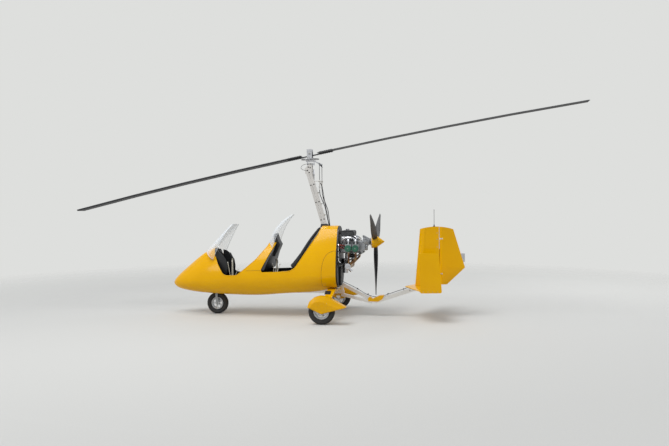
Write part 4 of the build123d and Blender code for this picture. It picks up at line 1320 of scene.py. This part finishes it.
def make_levers():
    """Stick grips and boots, levers and their stands to port, pedal pads and the front mat's ribs."""
    grips = bmesh.new()
    # Stick: neck and grip end
    for neck, tip in (((-1334, 0, 925), (-1378, 0, 1010)), ((-568, 0, 850), (-574, 0, 915))):
        along = Vector(tip) - Vector(neck)
        long = along.length
        rows = [(-4, 0), (-4, 14), (2, 19), (long * 0.25, 18.2), (long * 0.45, 21), (long * 0.7, 18.6),
                (long * 0.9, 21), (long + 3, 17), (long + 6, 8), (long + 6, 0)]
        lathe(rows, neck, along, 32, grips)
    piece("stick_grips", grips, "dial_black")
    boots = bmesh.new()
    for x in (-1322, -562):
        rows = [(0, 0), (0, 52), (5, 52), (9, 44), (16, 46), (24, 36), (32, 38), (40, 27), (48, 28),
                (56, 17), (64, 13), (64, 0)]
        lathe(rows, (x, 0, 454), UP, 40, boots)
    piece("stick_boots", boots, "rubber_seal")
    stands = bmesh.new()
    levers = bmesh.new()
    knobs = bmesh.new()
    plate([(-95, -45), (90, -45), (70, 34), (-60, 45)], 46, (-1235, -262, 600), AFT, UP,
          stands, 5)
    plate([(-70, -40), (80, -40), (50, 34), (-50, 40)], 40, (-545, -214, 690), AFT, UP,
          stands, 5)
    # Lever: foot, bend, head, radius, knob radius
    rows = [
        ((-1250, -262, 610), (-1257, -240, 720), (-1263, -214, 890), 5.5, 13),
        ((-1205, -262, 610), (-1185, -246, 700), (-1150, -236, 772), 4, 10),
        ((-1275, -262, 600), (-1300, -236, 700), (-1345, -196, 868), 4, 9),
        ((-540, -214, 700), (-536, -170, 800), (-533, -118, 922), 5.5, 12),
        ((-560, -214, 690), (-580, -170, 770), (-612, -120, 846), 4.5, 10),
        ((-520, -214, 690), (-508, -170, 760), (-490, -110, 838), 4.5, 10),
        ((-575, -214, 690), (-580, -180, 730), (-590, -150, 786), 4.5, 9),
    ]
    for foot, bend, head, radius, knob in rows:
        hose([foot, bend, head], radius, levers)
        lathe([(-knob, 0), (-knob * 0.8, knob * 0.55), (0, knob), (knob * 0.8, knob * 0.6), (knob, 0)],
              head, Vector(head) - Vector(bend), 24, knobs)
    piece("lever_stands", stands, "black_composite")
    piece("control_levers", levers, "lever_enamel")
    piece("lever_knobs", knobs, "dial_white")
    pads = bmesh.new()
    for x, y in ((-1880, 100), (-1050, 262)):
        for side in SIDES:
            block((6, 112, 66), (x + 9, side * y, 514), pads, edge=2)
            for z in (478, 502, 526, 550):
                block((4, 7, 58), (x + 13, side * y, z), pads, edge=1.2)
    piece("pedal_pads", pads, "rubber_seal")
    slats("front_mat_ribs", (-1770, 0, 455), (22, 0, 0), 24, (6, 330, 2), "floor_black")


# The cheek panels' inner edge, along X and up, from its head round to its foot
CHEEK_EDGE = [(480, 1080), (440, 1072), (380, 1052), (322, 1010), (284, 950), (262, 880), (248, 800),
              (242, 720), (243, 640), (247, 560), (262, 514), (330, 508), (400, 508), (470, 508)]


# Spat screws further out than this would stand past the widest point of the spats
SPAT_SIDE = 883


def make_seams():
    """Screws along the panel joins of the body, the cheeks, the spats and the fins."""
    rows = []
    for side in SIDES:
        rows += [on_side("cheek_panels", x, z, side) for x, z in CHEEK_EDGE[::2]]
    fasteners("body_screws", rows, "zinc_steel", radius=2.2, height=1.4, washer=3.2, sides=12)
    rows = []
    for side in SIDES:
        for x, z in ((190, 300), (262, 345), (420, 330), (505, 276), (268, 232), (420, 218)):
            rows.append(on_side("spats", x, z, side, -0.5))
    rows = [row for row in rows if abs(row[0][1]) < SPAT_SIDE]
    fasteners("spat_screws", rows, "zinc_steel", radius=2.2, height=0.9, washer=3.2, sides=12)
    rows = []
    for side in SIDES:
        for z in (560, 640, 760, 880, 1000, 1120, 1240, 1340):
            rows.append(on_side("centre_fin", 2030, z, side))
        for x, z in ((1830, 485), (1900, 485), (1970, 485), (2040, 488)):
            rows.append(on_side("end_fins", x, z, side))
    fasteners("tail_screws", rows, "zinc_steel", radius=3.4, height=1.8, washer=5.5, sides=12)


MAST_FOOT = Vector((437, 0, 765))
MAST_TOP = Vector((-38, 0, 2397))
MAST_ALONG = (MAST_TOP - MAST_FOOT).normalized()
MAST_AFT = Vector(STARBOARD).cross(MAST_ALONG)


def on_mast(height, aft, across):
    """A place on the mast at a height over the ground, so far aft of its middle line."""
    share = (height - MAST_FOOT.z) / (MAST_TOP.z - MAST_FOOT.z)
    return MAST_FOOT + (MAST_TOP - MAST_FOOT) * share + MAST_AFT * aft + Vector((0, across, 0))


def make_mast_fittings():
    """Through bolts of the mast, its boot, cables and clips, and the guides of shaft and rods."""
    bolts = []
    for side in SIDES:
        for height in (1560, 1842, 2122):
            bolts += [(on_mast(height, aft, side * 30), (0, side, 0)) for aft in (-26, 26)]
        for x, z in ((-36, 2356), (-8, 2321), (10, 2400), (-22, 2408)):
            bolts.append(((x, side * 38, z), (0, side, 0)))
    fasteners("mast_bolts", bolts, "dial_black", radius=7, height=6, washer=11)
    boot = bmesh.new()
    rings = []
    for height, half_x, half_y in ((1436, 72, 52), (1452, 70, 50), (1462, 62, 44), (1474, 60, 42),
                                   (1482, 53, 36), (1490, 52, 35)):
        middle = on_mast(height, 0, 0)
        ring = []
        for k in range(32):
            turn = 2 * math.pi * k / 32
            x = math.copysign(abs(math.cos(turn)) ** 0.35, math.cos(turn)) * half_x
            y = math.copysign(abs(math.sin(turn)) ** 0.35, math.sin(turn)) * half_y
            ring.append(boot.verts.new((middle + Vector((x, y, 0))) / 1000))
        rings.append(ring)
    bridge(boot, rings)
    piece("mast_boot", boot, "rubber_seal")
    loop = [(-9, -44, 2462), (-75, -40, 2453), (-125, -38, 2432), (-142, -36, 2405), (-126, -38, 2376),
            (-76, -40, 2356), (-30, -42, 2346)]
    piece("head_cable_loop", hose(loop, 3), "cable_black")
    lines = hose([(152, -22, 2176), (192, -42, 2130), (213, -52, 1955), (252, -48, 1745),
                  (300, -30, 1500), (316, -24, 1420)], 3.5)
    hose([(152, 22, 2176), (186, 34, 2090), (228, 40, 1860), (292, 30, 1520), (318, 22, 1420)], 5, lines)
    piece("head_cables", lines, "cable_black")
    clips = bmesh.new()
    for height in (1620, 1800, 1980):
        block((22, 14, 62), on_mast(height, 52, 0), clips, MAST_AFT, MAST_ALONG, 1.5)
    piece("cable_clips", clips, "zinc_steel")
    drive = lathe([(0, 0), (0, 17), (10, 17), (12, 13), (80, 13), (84, 15), (150, 15), (156, 12),
                   (176, 12), (180, 8), (192, 8), (192, 0)], (59, 0, 2184), UP, 32)
    piece("starter_shaft_guide", drive, "machined_aluminium")
    ends = bmesh.new()
    for side in SIDES:
        lathe([(0, 7.2), (0, 17), (5, 19), (12, 19), (18, 15), (24, 11), (24, 7.2)],
              (174.6, side * 104, 2168), UP, 32, ends, ring=True)
        lathe([(0, 7.2), (0, 13), (30, 13), (30, 7.2)], (174.6, side * 104, 2064), UP, 6, ends,
              ring=True)
    piece("rod_guide_ends", ends, "zinc_steel")


HEAD_TILT = 2.0
ROTOR_TURN = -2.2
TEETER_TILT = 8.4
PITCH_PIN = at(15, 0, 2455)
SPINDLE = at(5.84, 0, 2533.3)
LEANED = (Matrix.Translation(PITCH_PIN) @ Matrix.Rotation(math.radians(-HEAD_TILT), 4, "Y")
          @ Matrix.Translation(-PITCH_PIN))
GEARED = (LEANED @ Matrix.Translation(SPINDLE) @ Matrix.Rotation(math.radians(ROTOR_TURN), 4, "Z"))
PARKED = (Matrix.Translation(at(0, 0, TEETER_HEIGHT)) @ Matrix.Rotation(math.radians(-HEAD_TILT), 4, "Y")
          @ Matrix.Rotation(math.radians(ROTOR_TURN), 4, "Z")
          @ Matrix.Rotation(math.radians(-TEETER_TILT), 4, "Y"))


def turned(shape, place):
    """Moves a shape drawn at rest to where its body is parked."""
    bmesh.ops.transform(shape, matrix=place, verts=shape.verts)
    return shape


def placed(rows, place):
    """Moves rows of (place, facing) to where their body is parked."""
    turn = place.to_3x3()
    return [(tuple(place @ at(*p) * 1000), tuple(turn @ Vector(f))) for p, f in rows]


GEAR_TEETH = 96


def make_head():
    """Ring gear teeth, the tower's feet and spacers, blade root plates, arm plate, bolts and nuts."""
    outline = []
    for k in range(GEAR_TEETH):
        for share, radius in ((0.0, 139.6), (0.3, 139.6), (0.42, 144.5), (0.7, 144.5), (0.82, 139.6)):
            turn = 2 * math.pi * (k + share) / GEAR_TEETH
            outline.append((radius * math.cos(turn), radius * math.sin(turn)))
    teeth = plate(outline, 13, (0, 0, 0), AFT, STARBOARD, edge=0)
    piece("ring_gear_teeth", turned(teeth, GEARED), "rod_steel", "rotor_tower", 25)
    feet = bmesh.new()
    bolts = []
    for side in SIDES:
        block((84, 14, 20), (0, side * 53.5, 14), feet, AFT, UP, 2)
        for x in (-28, 0, 28):
            bolts.append(((x, side * 55, 21), UP))
            bolts.append(((x, side * 43, 30), (0, side, 0)))
        for x, z in ((-26, 128), (26, 128)):
            bolts.append(((x, side * 43.2, z), (0, side, 0)))
    piece("tower_feet", turned(feet, GEARED), "machined_aluminium", "rotor_tower")
    fasteners("tower_bolts", placed(bolts, GEARED), "zinc_steel", "rotor_tower", 6, 5, 8.5)
    spacers = bmesh.new()
    for x in (-26, 26):
        lathe([(-32, 0), (-32, 7), (32, 7), (32, 0)], (x, 0, 128), STARBOARD, 20, spacers)
    piece("tower_spacers", turned(spacers, GEARED), "zinc_steel", "rotor_tower")
    nuts = bmesh.new()
    for side in SIDES:
        lathe([(43.6, 0), (43.6, 17), (45.4, 17), (45.4, 0)], (0, 0, 0), (0, side, 0), 28, nuts)
        lathe([(45.4, 0), (45.4, 13), (46.4, 14), (54, 14), (55, 13), (55, 0)], (0, 0, 0), (0, side, 0),
              6, nuts)
    piece("teeter_nuts", turned(nuts, PARKED), "zinc_steel", "rotor", 25)
    bolts = []
    for end in SIDES:
        for k in range(6):
            for across in (-17, 17):
                bolts.append(((end * (176 + 36 * k), across, 2.2), UP))
                bolts.append(((end * (176 + 36 * k), across, -40), (0, 0, -1)))
    fasteners("blade_root_bolts", placed(bolts, PARKED), "rod_steel", "rotor", 6.5, 6, 10)
    plates = bmesh.new()
    for end in SIDES:
        block((226, 56, 3), (end * 268, 0, 3.5), plates, AFT, STARBOARD, 1)
    piece("blade_root_plates", turned(plates, PARKED), "rotor_black", "rotor")
    arm = plate([(-16, 0), (22, 6), (40, -44), (32, -48)], 6, (175, -46, 2436), AFT, UP)
    piece("head_arm_plate", turned(arm, LEANED), "rotor_black", "rotor_head")
    rows = [((15 + s * 54, t * 30, 2510), UP) for s in SIDES for t in SIDES]
    rows += [((15 + s * 66, t * 36, 2509), UP) for s in SIDES for t in SIDES]
    fasteners("bridge_bolts", placed(rows, LEANED), "zinc_steel", "rotor_head", 5, 4, 7.5)
    ends = bmesh.new()
    for side in SIDES:
        lathe([(0, 0), (0, 13), (2, 14), (9, 14), (10, 12), (10, 0)], (15, side * 43.4, 2455),
              (0, side, 0), 6, ends)
    piece("pitch_pin_nuts", turned(ends, LEANED), "zinc_steel", "gimbal", 25)


def make_cylinder_fittings():
    """Plugs and leads, clamps and coolant pipes of each cylinder, and the engine's bolts."""
    plugs = bmesh.new()
    leads = bmesh.new()
    clamps = bmesh.new()
    coolant = bmesh.new()
    bolts = []
    for side in SIDES:
        for row in range(2):
            x = 655 + row * 115
            for back in (-24, 26):
                foot = Vector((x + back, side * 246, 1170))
                rows = [(0, 0), (0, 8), (6, 8), (8, 6), (12, 6), (14, 9), (40, 8), (46, 5), (46, 0)]
                lathe(rows, foot, (0, side * 0.25, 1), 20, plugs)
                hose([foot + Vector((0, side * 10, 44)), foot + Vector((-10, side * 4, 78)),
                      (620 + row * 20, side * 150, 1286), (600, side * 60, 1262)], 3.6, leads)
            drum((x, side * 236, 1064), UP, 27, 9, clamps, 28)
            drum((x, side * 236, 1062 - 22), UP, 20, 8, clamps, 28)
            drum((x, side * 236, 1176), UP, 24, 9, clamps, 28)
            lathe([(0, 0), (0, 11), (22, 11), (24, 13), (28, 13), (28, 0)], (x + 2, side * 216, 1168),
                  UP, 20, coolant)
            hose([(x + 2, side * 216, 1192), (x + 4, side * 200, 1226), (x + 2, side * 150, 1270),
                  (640 + row * 40, side * 120, 1306)], 10, coolant, 3)
            bolts.append(((x, side * 318, 1107), (0, side, 0)))
            bolts += [((x + a, side * 262.5, 1117 + b), (0, side, 0))
                      for a in (-42, 42) for b in (-46, 46)]
    piece("plug_caps", plugs, "dial_black")
    piece("ignition_leads", leads, "cable_black")
    piece("engine_clamps", clamps, "zinc_steel")
    piece("coolant_pipes", coolant, "bright_pipe")
    for side in SIDES:
        bolts += [((x, side * 115, z), (0, side, 0)) for x in range(545, 900, 58) for z in (1058, 1198)
                  if x < 750 or z < 1100]
        for a, b in ((-24, -26), (24, -26), (-24, 26), (24, 26)):
            bolts.append(((560 + a, side * 145, 1257 + b), (0, side, 0)))
    for k in range(10):
        turn = 2 * math.pi * k / 10
        bolts.append(((862, 88 * math.cos(turn), PROP_HEIGHT + 88 * math.sin(turn)), AFT))
    fasteners("engine_bolts", bolts, "zinc_steel", radius=5, height=5, washer=8)


def make_case_fittings():
    """Intake arches, gear housing ribs, starter, oil filter, carburettor tops and radiator fins."""
    arches = bmesh.new()
    for side in SIDES:
        hose([(555, side * 190, 1240), (596, side * 203, 1266), (667, side * 206, 1274),
              (718, side * 206, 1264), (744, side * 204, 1234), (750, side * 203, 1176)], 16, arches, 4)
        hose([(655, side * 206, 1270), (640, side * 205, 1240), (637, side * 203, 1176)], 14, arches, 4)
    piece("intake_arches", arches, "bright_pipe")
    ribs = bmesh.new()
    for k in range(12):
        turn = 2 * math.pi * k / 12
        up = (0, math.cos(turn), math.sin(turn))
        plate([(866, 62), (866, 104), (884, 96), (950, 60), (976, 46), (976, 36)], 5, (0, 0, PROP_HEIGHT),
              AFT, up, ribs, 1)
    lathe([(-5, 60), (-5, 104), (5, 104), (8, 98), (8, 60)], (862, 0, PROP_HEIGHT), AFT, 64, ribs, ring=True)
    piece("gear_housing_ribs", ribs, "cast_aluminium")
    dark = bmesh.new()
    lathe([(0, 0), (0, 30), (6, 37), (70, 37), (76, 30), (96, 28), (100, 20), (100, 0)],
          (640, -76, 984), AFT, 40, dark)
    lathe([(0, 0), (0, 34), (4, 38), (66, 38), (76, 30), (82, 0)], (560, 118, 1050), STARBOARD, 40, dark)
    for k in range(8):
        drum((560, 126 + 8 * k, 1050), STARBOARD, 39.4, 3, dark, 40, 0.8)
    piece("starter_and_oil_filter", dark, "dial_black")
    carbs = bmesh.new()
    for side in SIDES:
        lathe([(0, 0), (0, 27), (12, 27), (16, 20), (22, 9), (30, 8), (30, 0)], (560, side * 110, 1291),
              UP, 28, carbs)
        lathe([(0, 0), (0, 24), (4, 27), (24, 27), (28, 22), (28, 0)], (560, side * 144, 1252),
              (0, side, 0), 28, carbs)
    lathe([(0, 0), (0, 26), (8, 26), (10, 30), (20, 30), (24, 20), (24, 0)], (600, 60, 1383), UP,
          32, carbs)
    piece("carburettor_tops", carbs, "machined_aluminium")
    slats("radiator_fins", (530, 0, 1336), (9.5, 0, 0), 21, (2.2, 306, 58), "rod_steel")


def make_hoses():
    """Hoses and pipes round the engine, the pipe's clips, a dark block behind the hull's rear edge that
    paints the engine bay's shade, and the silencer's ends.
    """
    hoses = bmesh.new()
    hose([(536, 205, 922), (540, 190, 980), (556, 150, 1020), (566, 118, 1052)], 9, hoses, 3)
    hose([(536, -262, 880), (560, -262, 860), (600, -180, 900), (612, -116, 1040)], 9, hoses, 3)
    # Hoses on both sides: radius, roundness, places to starboard
    pairs = [
        (4, 2, [(492, 90, 1330), (520, 100, 1342), (552, 110, 1334), (560, 110, 1322)]),
        (5, 2, [(492, 60, 1120), (506, 150, 1128), (540, 176, 1180), (560, 150, 1232)]),
        (12, 3, [(700, 130, 1316), (716, 170, 1290), (736, 150, 1240), (742, 116, 1180)]),
    ]
    for radius, sides, places in pairs:
        for side in SIDES:
            hose([(x, side * y, z) for x, y, z in places], radius, hoses, sides)
    piece("engine_hoses", hoses, "hose_rubber")
    red = hose([(492, -236, 1152), (520, -262, 1158), (556, -250, 1150), (590, -190, 1142),
                (604, -116, 1130)], 14, None, 3)
    hose([(492, -210, 1116), (526, -250, 1120), (566, -236, 1112), (598, -180, 1104), (610, -116, 1096)],
         11, red, 3)
    piece("warm_air_hoses", red, "silicone_red")
    pipe = hose([(498, -228, 1182), (500, -262, 1164), (500, -272, 1100), (500, -276, 1000),
                 (500, -272, 940), (510, -262, 900), (536, -262, 882)], 9, None, 3)
    piece("coolant_drop_pipe", pipe, "bright_pipe")
    strips = bmesh.new()
    for z in (1140, 1060, 970):
        block((18, 26, 34), (496, -272, z), strips, AFT, UP, 2)
    # A dark block behind the hull's rear edge: painted shade of the engine bay
    block((28, 300, 190), (506, -60, 660), strips, AFT, UP, 6)
    piece("pipe_clips_and_shade_block", strips, "dial_black")
    tips = bmesh.new()
    for side in SIDES:
        lathe([(side * 224, 42), (side * 224, 47.5), (side * 231, 47.5), (side * 232.5, 44),
               (side * 231, 0)], (640, 0, 820), STARBOARD, 48, tips)
    out = Vector((48, 0, -52)).normalized()
    lathe([(20, 26.6), (72, 26.6), (73, 24), (70, 22), (20, 22)], (650, -196, 800), out, 36, tips, ring=True)
    piece("silencer_tips", tips, "machined_aluminium")


def make_propeller():
    """The spinner's back plate and screws."""
    ring = lathe([(0, 40), (0, 106.5), (3, 107.5), (6, 106.5), (6, 40)], (999, 0, PROP_HEIGHT), AFT, 72,
                 ring=True)
    piece("spinner_back_plate", ring, "machined_aluminium", "propeller")
    rows = []
    for k in range(12):
        turn = 2 * math.pi * (k + 0.5) / 12
        out = (0, math.cos(turn), math.sin(turn))
        rows.append(((1018, 103.6 * out[1], PROP_HEIGHT + 103.6 * out[2]), out))
    fasteners("spinner_screws", rows, "zinc_steel", "propeller", 3.2, 1.6, 5, 12)


def make_tail_fittings():
    """Trim tab, hinge nuts, the antenna's foot and tip, root bolts and the rudder's cable."""
    tab = plate([(-8, -68), (44, -66), (44, 66), (-14, 68)], 3, (2412, 0, 952), AFT, UP)
    piece("rudder_trim_tab", tab, "machined_aluminium", "rudder")
    pins = bmesh.new()
    for z in (700, 1250):
        for end in SIDES:
            lathe([(0, 0), (0, 9), (2, 10), (5, 9.6), (6, 8), (6, 0)], (2098, 0, z + end * 22),
                  (0, 0, end), 6, pins)
    piece("hinge_pin_nuts", pins, "zinc_steel", angle=25)
    foot = lathe([(-6, 0), (-6, 20), (2, 20), (5, 15), (16, 9), (34, 6), (34, 0)], (1984, 0, 1438),
                 UP, 28)
    lathe([(0, 0), (0, 3.6), (4, 5), (10, 5), (12, 3), (12, 0)], (1984, 0, 1694), UP, 16, foot)
    piece("antenna_foot_and_tip", foot, "dial_black")
    rows = []
    for side in SIDES:
        for x in (1600, 1650, 1700):
            rows.append(((x, side * 25.2, 462 - (1700 - x) * 0.33), (0, side, 0)))
    fasteners("tail_root_bolts", rows, "zinc_steel", radius=7, height=5, washer=11)
    line = hose([(505, 36, 560), (700, 32, 470), (1010, 34, 318), (1120, 34, 322), (1400, 32, 412),
                 (1650, 32, 492), (1800, 34, 520)], 4.5, None, 2)
    piece("rudder_cable", line, "cable_black")
    clips = bmesh.new()
    for x, z in ((760, 441), (930, 356), (1250, 366), (1500, 446)):
        block((16, 20, 22), (x, 30, z), clips, AFT, UP, 2)
    piece("rudder_cable_clips", clips, "dial_black")


def make_gear_fittings():
    """Step pads, bow clamps, brake hoses, axle nuts and the nose fork's bolts and gussets."""
    pads = bmesh.new()
    for side in SIDES:
        down = Vector((0, side * 0.909, -0.416))
        out = Vector((0, side * 0.416, 0.909))
        middle = Vector((342, side * 350, 417)) + out * 2
        block((96, 104, 4), middle, pads, AFT, down, 1.2)
        for k in range(7):
            block((88, 6, 2), middle + down * (k * 14 - 42) + out * 3, pads, AFT, down, 0.6)
    piece("leg_step_pads", pads, "rubber_seal")
    clamps = bmesh.new()
    rows = []
    for side in SIDES:
        block((150, 60, 12), (385, side * 95, 445), clamps, AFT, STARBOARD, 2)
        block((150, 60, 12), (385, side * 95, 411), clamps, AFT, STARBOARD, 2)
        rows += [((x, side * y, 405), (0, 0, -1)) for x in (322, 448) for y in (76, 114)]
    piece("bow_clamps", clamps, "stainless_steel")
    fasteners("bow_clamp_bolts", rows, "zinc_steel", radius=7, height=7, washer=11)
    lines = bmesh.new()
    for side in SIDES:
        hose([(452, side * 180, 440), (446, side * 260, 444), (420, side * 450, 360),
              (400, side * 640, 272), (398, side * 720, 262), (392, side * 748, 256)], 4, lines)
    piece("brake_hoses", lines, "cable_black")
    nuts = bmesh.new()
    fork_nuts = bmesh.new()
    for side in SIDES:
        lathe([(0, 0), (0, 17), (3, 17), (3, 14), (13, 14), (14, 12), (14, 0)],
              (AXLE_X, side * (HALF_TRACK + 44), MAIN_RADIUS), (0, side, 0), 6, nuts)
        lathe([(0, 0), (0, 13), (2, 13), (2, 11), (9, 11), (10, 9), (10, 0)],
              (NOSE_X, side * 67, NOSE_RADIUS), (0, side, 0), 6, fork_nuts)
    piece("main_axle_nuts", nuts, "zinc_steel", angle=25)
    piece("nose_axle_nuts", fork_nuts, "zinc_steel", "nose_fork", 25)
    rows = [((NOSE_X + s * 12, side * 67, z), (0, side, 0)) for side in SIDES for s in (-1, 1)
            for z in (352, 330)]
    fasteners("nose_fork_bolts", rows, "zinc_steel", "nose_fork", 4.5, 4, 7)
    gussets = bmesh.new()
    for side in SIDES:
        block((30, 96, 3), (NOSE_X, side * 52, 372), gussets, AFT, STARBOARD, 0.8)
    piece("nose_fork_gussets", gussets, "stainless_steel", "nose_fork")


for make in (make_rim_lips, make_lining, make_screens, make_screen_foot, make_cheek_seams,
             make_cushions, make_bolsters, make_harness, make_dials, make_panel_sides, make_levers,
             make_seams, make_mast_fittings, make_head, make_cylinder_fittings, make_case_fittings,
             make_hoses, make_propeller, make_tail_fittings, make_gear_fittings):
    make()
